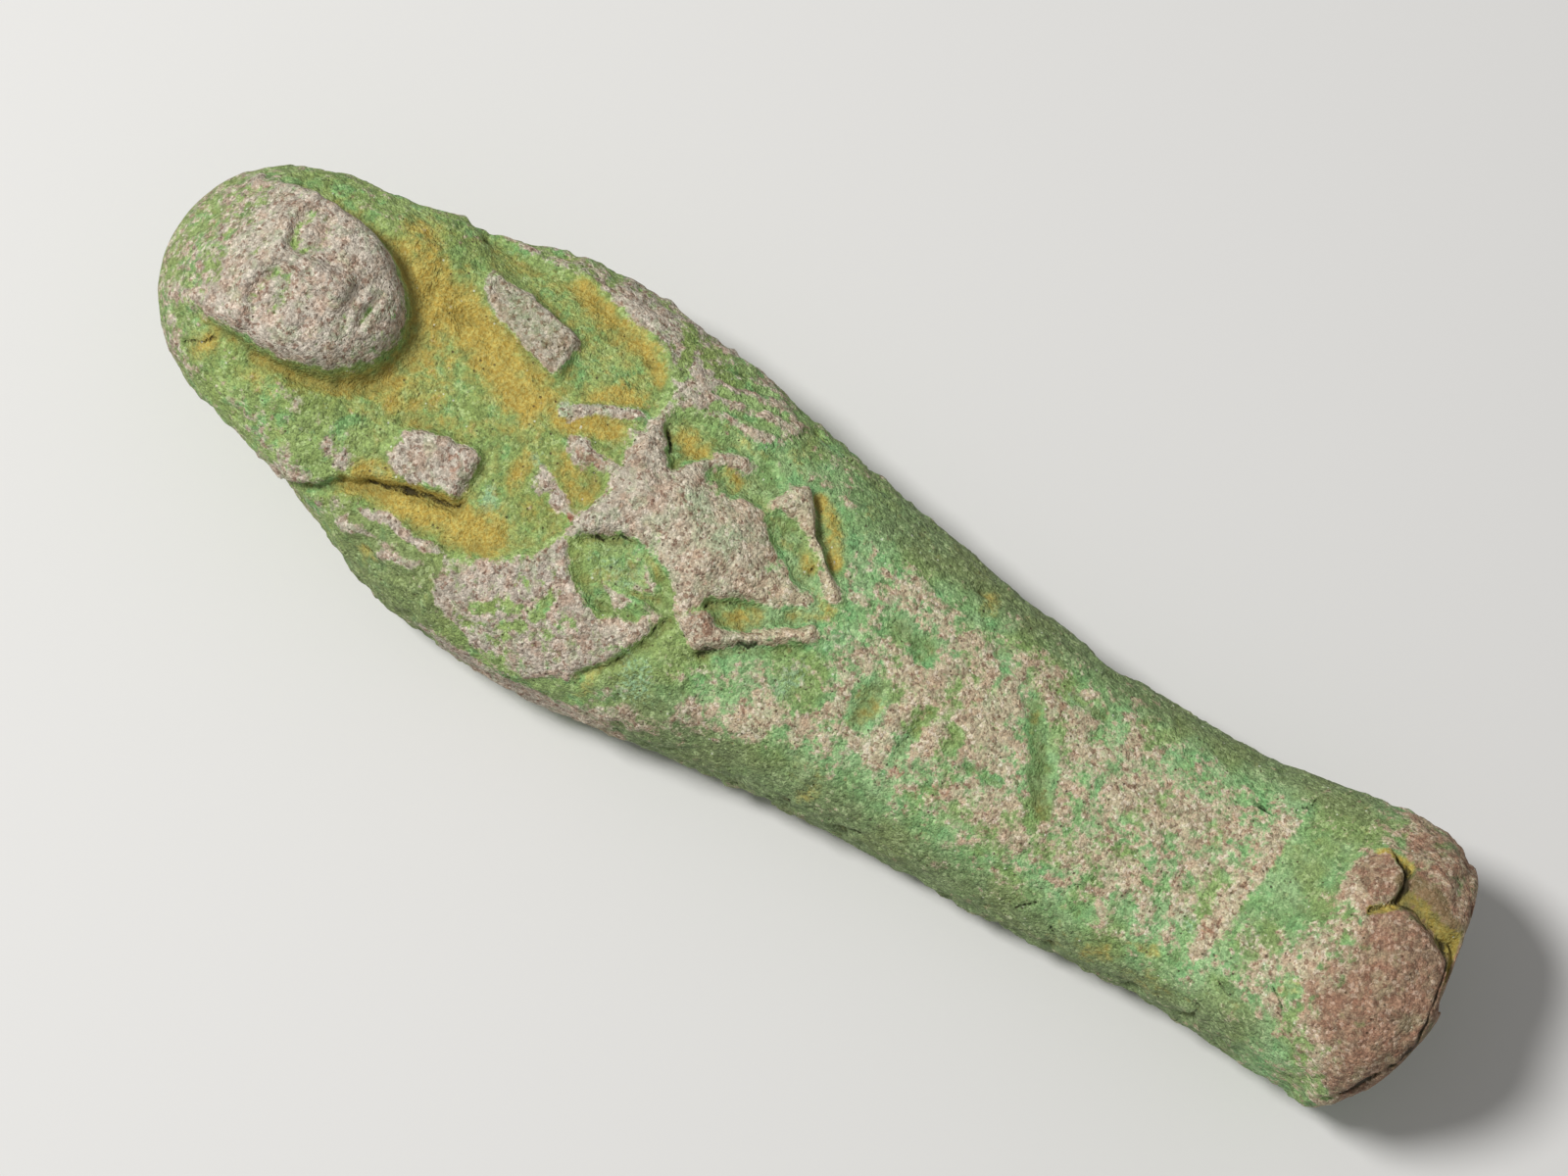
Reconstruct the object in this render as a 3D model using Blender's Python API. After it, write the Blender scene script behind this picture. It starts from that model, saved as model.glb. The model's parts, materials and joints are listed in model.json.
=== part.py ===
# A mummy-shaped tomb figurine of glazed earthenware, pressed in a mould and lying on its flat back.
# +X is the viewer's right, +Y is towards the head, +Z is out of the chest. Sizes are in millimetres
# until the mesh is made. A place on the figure is given by two distances: across, round the surface
# from the front midline, and down, from the crown towards the feet.
import bmesh
import bpy
import numpy as np

MM = 0.001

# Driving dimensions.
HEIGHT = 115.0
CROWN_DEPTH = 11.0
SOLE_DEPTH = 5.4
FRONT_ROUNDNESS = 2.3
HEAD_BACK_ROUNDNESS = 2.2
BODY_BACK_ROUNDNESS = 3.2
BODY_BACK_FLATTENING = 0.12
ROWS = 300
COLUMNS = 150
TRIANGLES = 9600
FLAT_WITHIN = 0.03

# Down from the crown, half width, level of the widest line, front height, back height, sideways lean.
STATIONS = [
    (0.0, 11.0, 14.2, 19.0, 5.6, -0.3),
    (5.0, 10.5, 14.0, 19.8, 4.4, -0.35),
    (10.0, 10.75, 13.8, 20.2, 3.2, -0.35),
    (15.0, 11.55, 13.6, 19.6, 2.1, -0.4),
    (20.0, 12.9, 12.6, 18.2, 1.1, -0.3),
    (24.0, 14.45, 11.0, 17.8, 0.4, -0.2),
    (28.0, 15.75, 10.8, 18.0, 0.0, 0.0),
    (33.0, 16.1, 10.2, 18.3, 0.0, -0.15),
    (40.0, 15.9, 9.4, 18.4, 0.0, -0.3),
    (48.0, 15.05, 9.0, 17.7, 0.0, -0.05),
    (56.0, 13.65, 8.9, 16.8, 0.0, 0.05),
    (66.0, 12.3, 8.5, 16.2, 0.0, 0.0),
    (76.0, 11.45, 8.0, 15.6, 0.0, -0.15),
    (88.0, 10.9, 8.2, 15.0, 0.0, 0.05),
    (96.0, 10.7, 9.4, 15.5, 0.0, 0.5),
    (101.0, 11.1, 11.2, 17.8, 0.0, 0.7),
    (106.0, 11.5, 12.4, 21.2, 0.2, 0.65),
    (109.0, 11.45, 12.4, 22.8, 0.5, 0.6),
    (111.0, 11.45, 12.4, 22.8, 0.7, 0.0),
    (112.8, 11.2, 12.4, 22.8, 0.8, -0.4),
    (113.6, 8.6, 12.4, 22.8, 0.9, -2.6),
    (114.3, 6.0, 12.4, 22.8, 0.9, -2.8),
    (HEIGHT, 4.0, 12.4, 22.8, 1.0, -1.4),
]
# Distance between rows of points at a few places down the figure, in shares of each other.
ROW_SPACING = [(0, 0.2), (3, 0.8), (9, 1.0), (20, 0.9), (36, 0.8), (60, 0.85), (66, 1.2), (94, 1.4),
               (103, 1.1), (109, 1.0), (113, 0.5), (HEIGHT, 0.15)]
# Share of the half girth reached at even steps from the front midline to the back midline.
COLUMN_SPACING = [(0.0, 0.0), (0.70, 0.45), (0.85, 0.62), (1.0, 1.0)]


# Short helpers for shapes on the unrolled surface.
def smooth(x):
    x = np.clip(x, 0.0, 1.0)
    return x * x * (3.0 - 2.0 * x)


def edge(inside, width):
    return smooth(0.5 + inside / width)


def between(x, start, end):
    return smooth((x - start) / (end - start))


def oval(u, v, centre_u, centre_v, half_u, half_v):
    reach = np.hypot((u - centre_u) / half_u, (v - centre_v) / half_v)
    return (1.0 - reach) * min(half_u, half_v)


def from_line(u, v, points):
    nearest = np.full(u.shape, 1e9)
    for (u0, v0), (u1, v1) in zip(points, points[1:]):
        du = u1 - u0
        dv = v1 - v0
        t = np.clip(((u - u0) * du + (v - v0) * dv) / (du * du + dv * dv), 0.0, 1.0)
        nearest = np.minimum(nearest, np.hypot(u - u0 - t * du, v - v0 - t * dv))
    return nearest


def area(u, v, corners):
    closed = corners + corners[:1]
    odd = np.zeros(u.shape, bool)
    for (u0, v0), (u1, v1) in zip(closed, closed[1:]):
        if v0 != v1:
            crossing = (v0 > v) != (v1 > v)
            odd ^= crossing & (u < (u1 - u0) * (v - v0) / (v1 - v0) + u0)
    return np.where(odd, 1.0, -1.0) * from_line(u, v, closed)


def ridge(u, v, points, half_width, height):
    return height * (1.0 - smooth(from_line(u, v, points) / half_width))


def curve(table, x):
    at, value = np.array(table, float).T
    slope = np.gradient(value, at)
    x = np.clip(x, at[0], at[-1])
    i = np.clip(np.searchsorted(at, x, side="right") - 1, 0, len(at) - 2)
    span = at[i + 1] - at[i]
    t = (x - at[i]) / span
    start = (1 + 2 * t) * (1 - t) ** 2 * value[i] + t * (1 - t) ** 2 * slope[i] * span
    end = t * t * (3 - 2 * t) * value[i + 1] + t * t * (t - 1) * slope[i + 1] * span
    return start + end


# The plain body: a flattened oval section whose size follows the stations and closes at both ends.
def end_share(v):
    crown = np.clip(1.0 - v / CROWN_DEPTH, 0.0, 1.0)
    sole = np.clip((v - HEIGHT + SOLE_DEPTH) / SOLE_DEPTH, 0.0, 1.0)
    wide = np.sqrt(np.maximum(1.0 - crown ** 2, 0.0)) * np.sqrt(np.maximum(1.0 - sole ** 2, 0.0))
    deep = np.sqrt(np.maximum(1.0 - crown ** 2.2, 0.0)) * np.maximum(1.0 - sole ** 4, 0.0) ** 0.3
    return wide, deep


def section(v, steps=241):
    down = [row[0] for row in STATIONS]
    half, widest, front, back, lean = (
        float(curve(list(zip(down, [row[k] for row in STATIONS])), np.array([v]))[0]) for k in range(1, 6)
    )
    wide, deep = (float(share[0]) for share in end_share(np.array([v])))
    turn = np.linspace(0.0, np.pi, steps)
    up = np.abs(np.cos(turn))
    out = np.abs(np.sin(turn))
    is_front = np.cos(turn) >= 0.0
    body = float(between(np.array([v]), 16.0, 32.0)[0])
    back_roundness = HEAD_BACK_ROUNDNESS + (BODY_BACK_ROUNDNESS - HEAD_BACK_ROUNDNESS) * body
    flattening = 1.0 + BODY_BACK_FLATTENING * body
    power = np.where(is_front, 2.0 / FRONT_ROUNDNESS, 2.0 / back_roundness)
    x = half * out ** power
    z = np.where(is_front, widest + (front - widest) * up ** power,
                 widest - (widest - back) * flattening * up ** power)
    z = np.maximum(z, back)
    return x * wide, widest + (z - widest) * deep, lean


# The wig: a smooth hood over crown and sides whose two front tresses end in flat raised pads.
WIG_LEFT = [(-19.0, 15.6), (-15.6, 17.0), (-13.0, 19.2), (-11.2, 21.4), (-10.0, 23.4), (-9.2, 25.8),
            (-8.6, 28.2), (-8.2, 30.0)]
WIG_RIGHT = [(19.0, 16.0), (15.4, 17.6), (13.0, 19.8), (11.2, 21.8), (10.2, 24.0), (9.2, 27.6), (8.3, 31.4)]
TRESS_GAP = [(4.4, 31.4), (5.1, 28.0), (5.9, 25.4), (6.9, 22.0), (7.2, 17.0), (6.4, 11.0), (-6.4, 11.0),
             (-7.0, 18.0), (-5.6, 22.8), (-4.5, 25.6), (-4.0, 29.8)]
PADS = [[(-8.2, 23.5), (-5.3, 23.3), (-4.3, 25.6), (-3.9, 29.4), (-5.4, 29.9), (-8.2, 30.0)],
        [(7.6, 22.4), (9.5, 22.6), (9.0, 26.4), (8.1, 31.4), (4.6, 31.3), (5.2, 28.0), (6.2, 25.0)]]
WIG_HEIGHT = 0.75
PAD_HEIGHT = 0.5


def wig(u, v):
    outline = WIG_LEFT + TRESS_GAP[::-1] + WIG_RIGHT[::-1]
    outline = outline + [(19.0, -9.0), (-19.0, -9.0)]
    grown = between(v, 12.0, 20.0)
    softness = 0.9 + 2.9 * (1.0 - between(v, 21.0, 25.0)) * (1.0 - between(np.abs(u), 6.5, 9.0))
    softness = softness + 0.7 * between(u, 6.0, 9.0)
    height = WIG_HEIGHT * edge(area(u, v, outline), softness) * grown
    for pad in PADS:
        height = height + PAD_HEIGHT * edge(area(u, v, pad), 1.1)
    return height - ridge(u, v, [(a - 0.5, b + 0.3) for a, b in WIG_LEFT[1:]], 0.9, 0.6)


# The face: calm and plain, set out by the usual thirds of a head, with eyes halfway down it.
CHIN = 20.0
EYE_LINE = CHIN / 2.0
NOSE_END = (EYE_LINE + CHIN) / 2.0
MOUTH_LINE = NOSE_END + (CHIN - NOSE_END) / 3.0
HAIRLINE = CHIN / 5.0
CHEEK_LINE = EYE_LINE + 1.2
FACE_HALF_WIDTH = CHIN / 3.0
EYE_WIDTH = FACE_HALF_WIDTH * 2.0 / 5.0
FACE_HEIGHT = 2.4


def face_inside(u, v):
    below = np.maximum(v - CHEEK_LINE, 0.0) / (CHIN + 0.4 - CHEEK_LINE)
    return (1.0 - np.hypot(u / FACE_HALF_WIDTH, below)) * FACE_HALF_WIDTH


def eyes_and_brows(side, v):
    height = -0.6 * edge(oval(side, v, EYE_WIDTH, EYE_LINE + 0.1, 2.0, 1.3), 1.5)
    height = height + 0.45 * edge(oval(side, v, EYE_WIDTH, EYE_LINE + 0.15, 1.25, 0.65), 0.8)
    lid = [(EYE_WIDTH - 1.3, EYE_LINE - 0.1), (EYE_WIDTH, EYE_LINE - 0.75), (EYE_WIDTH + 1.4, EYE_LINE - 0.1)]
    brow = [(0.8, EYE_LINE - 1.5), (EYE_WIDTH, EYE_LINE - 2.3), (EYE_WIDTH + 2.2, EYE_LINE - 1.4)]
    return height + ridge(side, v, lid, 0.5, 0.18) + ridge(side, v, brow, 1.0, 0.36)


def nose(side, v):
    half = 0.6 + 0.7 * between(v, EYE_LINE, NOSE_END)
    across = 1.0 - smooth((side - 0.15) / (half + 0.4))
    rise = 0.45 + 0.80 * between(v, EYE_LINE - 1.5, NOSE_END - 0.6)
    ends = between(v, EYE_LINE - 2.6, EYE_LINE - 0.6) * (1.0 - between(v, NOSE_END - 0.4, NOSE_END + 0.6))
    return across * rise * ends + 0.25 * edge(oval(side, v, 1.1, NOSE_END - 0.6, 0.7, 0.6), 0.7)


def mouth_and_chin(u, v):
    upper = [(-1.9, MOUTH_LINE), (-0.6, MOUTH_LINE - 0.45), (0.6, MOUTH_LINE - 0.45), (1.9, MOUTH_LINE)]
    lower = [(-1.2, MOUTH_LINE + 0.7), (1.2, MOUTH_LINE + 0.7)]
    height = ridge(u, v, upper, 0.6, 0.38) + ridge(u, v, lower, 0.7, 0.42)
    height = height - ridge(u, v, [(-2.0, MOUTH_LINE + 0.1), (2.0, MOUTH_LINE + 0.1)], 0.4, 0.36)
    height = height - 0.22 * edge(oval(u, v, 0.0, MOUTH_LINE + 1.6, 1.7, 0.5), 0.8)
    return height + 0.40 * edge(oval(u, v, 0.0, CHIN - 1.0, 2.0, 1.1), 1.4)


def face(u, v):
    side = np.abs(u)
    inside = face_inside(u, v)
    boss = FACE_HEIGHT * edge(inside - 0.7, 2.0) * between(v, 1.5, 9.0)
    boss = boss + 0.6 * smooth(inside / FACE_HALF_WIDTH) * between(v, 1.5, 6.0)
    rim = (1.0 - smooth(np.abs(inside + 0.4) / 1.2)) * between(v, 6.0, 12.0)
    rim_depth = 0.35 + 0.3 * (1.0 - between(u, -4.0, 2.0))
    features = eyes_and_brows(side, v) + nose(side, v) + mouth_and_chin(u, v)
    features = features + 0.26 * edge(oval(side, v, 3.9, NOSE_END - 1.4, 1.7, 2.0), 2.0)
    features = features + 0.22 * (1.0 - between(v, HAIRLINE - 0.4, HAIRLINE + 0.6)) * between(v, 1.0, 3.0)
    return boss - rim_depth * rim + features * edge(inside - 0.6, 1.2)


# The chest: a sunk field shaped like a broad collar, with short raised bars on one shoulder.
FIELD = [(-11.9, 11.0), (-12.0, 31.4), (-11.0, 33.4), (-9.5, 35.6), (-8.0, 37.0), (-6.2, 38.0),
         (-5.0, 37.8), (-4.2, 38.8), (6.0, 39.4), (8.8, 39.0), (10.6, 37.6), (12.0, 35.4), (12.9, 32.4),
         (13.3, 29.0), (13.6, 11.0)]
FIELD_DEPTH = 0.8
SHOULDER_BARS = [([(-12.4, 24.2), (-12.3, 30.8)], 0.6, 0.35), ([(-14.6, 23.8), (-13.6, 25.2)], 0.9, 0.4),
                 ([(-15.0, 26.8), (-14.2, 29.8)], 0.8, 0.45), ([(-16.4, 29.4), (-15.2, 31.0)], 0.8, 0.4)]


def chest(u, v):
    height = -FIELD_DEPTH * edge(area(u, v, FIELD), 1.3) * between(v, 14.0, 24.0)
    for bar, half_width, rise in SHOULDER_BARS:
        height = height + ridge(u, v, bar, half_width, rise)
    return height


# The winged beetle across the breast. A line entry is its points, half width and rise or depth.
BEETLE = [(-5.2, 39.2), (-4.0, 38.2), (0.6, 38.8), (4.4, 38.0), (6.9, 39.7), (4.9, 41.2), (3.4, 42.6),
          (4.9, 43.9), (3.9, 45.6), (3.7, 47.4), (4.3, 49.4), (3.2, 51.1), (1.9, 53.0), (0.8, 54.8),
          (0.2, 57.2), (-0.5, 57.3), (-1.5, 55.4), (-2.4, 53.7), (-3.2, 51.8), (-4.4, 50.3), (-6.9, 49.4),
          (-5.6, 47.8), (-4.2, 46.6), (-3.5, 45.0), (-3.1, 42.8), (-4.0, 41.2)]
BEETLE_HEAD = [(0.7, 35.8), (0.7, 39.5)]
BEETLE_HEAD_SIZE = (1.5, 0.7)
THIN_LEGS = [([(-2.8, 34.6), (-3.8, 36.4), (-4.2, 38.6)], 0.8, 0.35),
             ([(2.6, 33.2), (4.1, 35.0), (5.2, 37.0), (5.8, 38.8)], 0.8, 0.5),
             ([(-3.6, 43.6), (-5.6, 46.6)], 0.9, 0.35), ([(3.8, 43.6), (5.8, 45.2), (6.9, 47.4)], 1.1, 0.65)]
LEFT_HIND_LEG = [(-6.9, 48.9), (-8.1, 51.5), (-7.2, 52.9), (-5.9, 53.9), (-4.6, 55.7), (-3.2, 57.9),
                 (-2.2, 58.8), (-1.5, 58.2), (-2.4, 56.9), (-3.4, 55.7), (-4.7, 53.9), (-5.5, 52.1),
                 (-5.2, 50.4)]
RIGHT_HIND_LEG = [(5.0, 50.8), (7.3, 50.9), (7.9, 52.2), (7.0, 53.5), (5.4, 54.3), (4.4, 55.1), (3.2, 56.9),
                  (1.4, 59.0), (1.0, 58.2), (2.4, 56.5), (4.0, 54.8), (5.1, 53.0)]
LEFT_HOLLOW = [(-8.4, 40.6), (-6.2, 38.9), (-5.0, 39.4), (-4.0, 41.2), (-3.2, 43.0), (-3.6, 45.2),
               (-4.3, 46.8), (-5.8, 48.2), (-6.9, 47.8), (-7.6, 44.6), (-9.4, 43.6)]
RIGHT_HOLLOW = [(3.4, 42.6), (6.6, 40.4), (7.8, 40.6), (7.9, 44.0), (8.4, 49.0), (7.2, 50.2), (4.4, 50.4),
                (3.8, 47.4), (4.4, 45.6), (5.2, 44.2)]
LEFT_LEG_GAP = [(-5.0, 50.6), (-4.2, 50.4), (-3.3, 51.8), (-2.4, 53.8), (-1.4, 56.2), (-1.6, 57.4),
                (-2.6, 57.0), (-3.6, 55.4), (-4.9, 53.6), (-5.4, 52.0)]
RIGHT_LEG_GAP = [(3.6, 50.8), (4.9, 51.2), (5.0, 52.8), (4.0, 54.2), (2.4, 56.2), (0.9, 56.6), (0.9, 54.8),
                 (2.2, 52.6)]
HIND_LEGS = [LEFT_HIND_LEG, RIGHT_HIND_LEG]
HOLLOWS = [(LEFT_HOLLOW, 0.7), (RIGHT_HOLLOW, 0.7), (LEFT_LEG_GAP, 0.5), (RIGHT_LEG_GAP, 0.4)]
LEFT_WING = [(-20.0, 32.0), (-12.4, 31.6), (-11.0, 33.6), (-9.5, 35.8), (-8.0, 37.2), (-6.2, 38.2),
             (-6.4, 39.4), (-8.6, 40.8), (-9.8, 43.8), (-8.6, 46.0), (-6.9, 48.0), (-8.8, 47.7),
             (-12.0, 46.7), (-14.6, 44.6), (-17.0, 42.0), (-20.0, 41.0)]
RIGHT_WING = [(20.0, 31.0), (13.4, 31.6), (12.4, 35.2), (10.8, 37.8), (9.0, 39.2), (7.9, 40.6), (8.2, 44.0),
              (8.5, 48.2), (10.4, 49.2), (13.4, 49.4), (16.5, 46.5), (20.0, 43.0)]
LEFT_FEATHERS = [([(-7.9, 42.8), (-7.2, 46.8)], 0.55, 0.4), ([(-6.9, 43.2), (-6.1, 46.2)], 0.5, 0.35),
                 ([(-9.3, 42.6), (-8.4, 46.4)], 0.6, -0.3), ([(-13.6, 35.6), (-14.4, 38.0)], 0.8, -0.2),
                 ([(-11.2, 39.4), (-10.2, 40.2)], 0.8, -0.2)]
RIGHT_FEATHERS = [([(8.4 + 1.25 * k, 43.2 - 0.55 * k), (9.2 + 1.75 * k, 49.6 - 1.15 * k)], 0.5, -0.32)
                  for k in range(5)] + [([(12.4, 37.4), (16.0, 39.4)], 0.6, -0.2)]
UNDERCUTS = [
    ([(-14.6, 45.0), (-12.0, 47.2), (-9.0, 48.2), (-7.2, 48.8)], 0.9, 0.5),
    ([(-8.4, 52.0), (-6.2, 54.2), (-4.8, 56.2), (-3.5, 58.4)], 0.8, 0.45),
    ([(7.7, 53.4), (5.6, 54.8), (3.6, 57.2)], 0.9, 0.5),
    ([(-5.2, 39.9), (-4.1, 41.4), (-3.3, 43.0)], 0.6, 0.35),
    ([(6.6, 40.6), (4.4, 41.6), (3.4, 42.6)], 0.6, 0.3),
    ([(-4.9, 50.4), (-3.6, 51.4), (-2.3, 54.0)], 0.7, 0.4),
]


def beetle(u, v):
    height = 0.42 * edge(area(u, v, LEFT_WING), 1.0) + 0.35 * edge(area(u, v, RIGHT_WING), 1.4)
    for hollow, depth in HOLLOWS:
        height = height - depth * edge(area(u, v, hollow), 1.1)
    for line, half_width, rise in LEFT_FEATHERS + RIGHT_FEATHERS:
        height = height + ridge(u, v, line, half_width, rise)
    for line, half_width, depth in UNDERCUTS:
        height = height - ridge(u, v, line, half_width, depth)
    inside = area(u, v, BEETLE)
    insect = 0.55 * edge(inside, 1.2) + 0.85 * smooth(inside / 3.8)
    insect = np.maximum(insect, ridge(u, v, BEETLE_HEAD, *BEETLE_HEAD_SIZE))
    for leg, half_width, rise in THIN_LEGS:
        insect = np.maximum(insect, ridge(u, v, leg, half_width, rise))
    for leg in HIND_LEGS:
        inside = area(u, v, leg)
        insect = np.maximum(insect, 0.8 * edge(inside, 0.9) + 0.3 * smooth(inside / 1.2))
    return height + insect


# The skirt panel has rows of shallow strokes in place of the worn writing. The feet have a cleft, a small
# lump and a low band, and both flanks have old knocks, each a centre, two half sizes and a depth.
STROKES = [([(-6.0, 65.0), (-3.0, 64.8)], 2.0, 0.35), ([(2.2, 64.2), (2.2, 66.8)], 1.8, 0.35),
           ([(-6.4, 69.1), (-1.6, 69.1)], 0.9, 0.25), ([(-4.8, 72.6), (-2.0, 72.4)], 0.7, 0.2),
           ([(-3.9, 74.4), (-3.6, 77.0)], 0.8, 0.25), ([(3.2, 75.9), (0.0, 78.4), (-4.0, 81.0)], 1.5, 0.4),
           ([(5.9, 77.4), (5.5, 81.2)], 0.9, 0.3), ([(-8.3, 71.8), (-7.5, 72.0)], 0.9, 0.2)]
KNOCKS = [(-17.0, 68.6, 1.8, 1.1, 0.6), (-16.6, 63.6, 1.8, 0.8, 0.4), (-14.8, 87.0, 2.4, 1.3, 0.4),
          (-15.0, 94.8, 1.8, 1.1, 0.7), (-15.6, 99.2, 2.6, 0.9, 0.9), (13.2, 80.0, 2.8, 2.8, 1.1),
          (-17.4, 49.8, 2.0, 2.0, 0.3)]
SLEEVE = [(-18.0, 48.2), (-15.0, 51.6), (-11.5, 56.0), (-8.5, 60.5)]


def strokes(u, v):
    height = np.zeros(u.shape)
    for line, half_width, depth in STROKES:
        height = height - ridge(u, v, line, half_width, depth)
    return height


def feet(u, v):
    height = ridge(u, v, [(-7.0, 96.8), (-3.5, 96.3), (-0.6, 96.7)], 1.2, 0.25)
    height = height + ridge(u, v, [(0.4, 97.5), (3.0, 96.9), (5.2, 97.3)], 1.0, 0.25)
    height = height - ridge(u, v, [(3.5, 107.8), (3.1, 109.6), (2.6, 112.0), (2.2, 115.0)], 1.6, 1.2)
    height = height + 0.6 * edge(oval(u, v, 3.8, 105.2, 2.9, 1.8), 1.4)
    under_lump = [(1.2, 105.8), (2.2, 106.9), (3.4, 107.3), (5.0, 107.1), (6.3, 105.6)]
    height = height - ridge(u, v, under_lump, 0.7, 0.55)
    return height - ridge(u, v, [(-8.8, 98.6), (-10.4, 101.4)], 1.2, 0.25)


def knocks(u, v):
    height = np.zeros(u.shape)
    for across, down, half_u, half_v, depth in KNOCKS:
        height = height - depth * smooth(oval(u, v, across, down, half_u, half_v) / min(half_u, half_v))
    return height + ridge(u, v, SLEEVE, 2.4, 0.35)


def back_of_wig(share, v):
    behind = between(share, 0.62, 0.74)
    return -0.5 * behind * (1.0 - smooth(np.abs(v - 25.0) / 1.2))


def relief(u, v):
    height = wig(u, v) + face(u, v) + chest(u, v) + beetle(u, v)
    return height + strokes(u, v) + feet(u, v) + knocks(u, v)


# Points on the surface, row by row from crown to sole.
def row_places(count):
    v = np.linspace(0.0, HEIGHT, 2001)
    at, gap = np.array(ROW_SPACING, float).T
    dense = np.cumsum(1.0 / np.interp(v, at, gap))
    dense = (dense - dense[0]) / (dense[-1] - dense[0])
    return np.interp(np.linspace(0.0, 1.0, count + 2)[1:-1], dense, v)


def column_shares(count):
    at, share = np.array(COLUMN_SPACING, float).T
    half = np.interp(np.linspace(0.0, 1.0, count // 2 + 1), at, share)
    return np.concatenate([-half[::-1][:-1], half[:-1]])


def surface(rows, shares):
    points = np.zeros((len(rows), len(shares), 3))
    outward = np.zeros((len(rows), len(shares), 3))
    across = np.zeros((len(rows), len(shares)))
    for i, v in enumerate(rows):
        x, z, lean = section(v)
        run = np.concatenate([[0.0], np.cumsum(np.hypot(np.diff(x), np.diff(z)) + 1e-6)])
        at = np.abs(shares) * run[-1]
        side = np.where(shares < 0.0, -1.0, 1.0)
        slope_x = np.interp(at, run, np.gradient(x, run))
        slope_z = np.interp(at, run, np.gradient(z, run))
        size = np.hypot(slope_x, slope_z) + 1e-9
        points[i, :, 0] = lean + side * np.interp(at, run, x)
        points[i, :, 1] = HEIGHT / 2.0 - v
        points[i, :, 2] = np.interp(at, run, z)
        outward[i, :, 0] = -side * slope_z / size
        outward[i, :, 2] = slope_x / size
        across[i] = side * at
    down = np.repeat(rows[:, None], len(shares), axis=1)
    share = np.repeat(np.abs(shares)[None, :], len(rows), axis=0)
    ends = between(down, 0.0, 3.0) * (1.0 - between(down, HEIGHT - 1.5, HEIGHT))
    height = (relief(across, down) + back_of_wig(share, down)) * ends
    points = points + outward * height[:, :, None]
    points[:, :, 0] -= (points[:, :, 0].min() + points[:, :, 0].max()) / 2.0
    points[:, :, 2] = np.maximum(points[:, :, 2], 0.0)
    return points


def make_figure():
    rows = row_places(ROWS)
    shares = column_shares(COLUMNS)
    points = surface(rows, shares)
    bm = bmesh.new()
    rings = [[bm.verts.new(point * MM) for point in row] for row in points]
    crown = bm.verts.new((points[0].mean(axis=0) + [0.0, HEIGHT / 2.0 - points[0, 0, 1], 0.0]) * MM)
    sole = bm.verts.new((points[-1].mean(axis=0) + [0.0, -HEIGHT / 2.0 - points[-1, 0, 1], 0.0]) * MM)
    for upper, lower in zip(rings, rings[1:]):
        for k in range(COLUMNS):
            n = (k + 1) % COLUMNS
            bm.faces.new((upper[k], lower[k], lower[n], upper[n]))
    for k in range(COLUMNS):
        n = (k + 1) % COLUMNS
        bm.faces.new((crown, rings[0][k], rings[0][n]))
        bm.faces.new((sole, rings[-1][n], rings[-1][k]))
    bmesh.ops.triangulate(bm, faces=bm.faces[:])
    bmesh.ops.recalc_face_normals(bm, faces=bm.faces[:])
    mesh = bpy.data.meshes.new("ushabti_figurine")
    bm.to_mesh(mesh)
    bm.free()
    return mesh


# The fine surface is thinned where it is smooth, and its back is set down on one plane.
def thinned(figure):
    thin = figure.modifiers.new("thin", "DECIMATE")
    thin.ratio = TRIANGLES / len(figure.data.polygons)
    seen = figure.evaluated_get(bpy.context.evaluated_depsgraph_get())
    mesh = bpy.data.meshes.new_from_object(seen)
    figure.modifiers.clear()
    for vertex in mesh.vertices:
        if vertex.co.z < FLAT_WITHIN * MM:
            vertex.co.z = 0.0
    mesh.shade_smooth()
    mesh.set_sharp_from_angle(angle=np.radians(50.0))
    return mesh


def make_material():
    material = bpy.data.materials.new("worn_glaze")
    material.use_nodes = True
    shader = material.node_tree.nodes["Principled BSDF"]
    shader.inputs["Base Color"].default_value = (0.26, 0.32, 0.14, 1.0)
    shader.inputs["Roughness"].default_value = 0.8
    return material


for old in list(bpy.data.objects):
    bpy.data.objects.remove(old, do_unlink=True)
figure = bpy.data.objects.new("ushabti_figurine", make_figure())
figure.data.materials.append(make_material())
bpy.context.scene.collection.objects.link(figure)
figure.data = thinned(figure)
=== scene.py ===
# %% [markdown]
# # A worn tomb figurine in green-glazed earthenware
# The real piece is a mummy-shaped figure, pressed in a mould, dipped in a green glaze and fired. Long burial
# wore the glaze off everything that stands proud. We build it over its plain CAD solid, so the first step
# loads that solid and keeps its box, which the finished figure must not leave.

# %% Load the solid
import json
import math

import bpy
import numpy as np
from mathutils import Matrix, Vector

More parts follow.
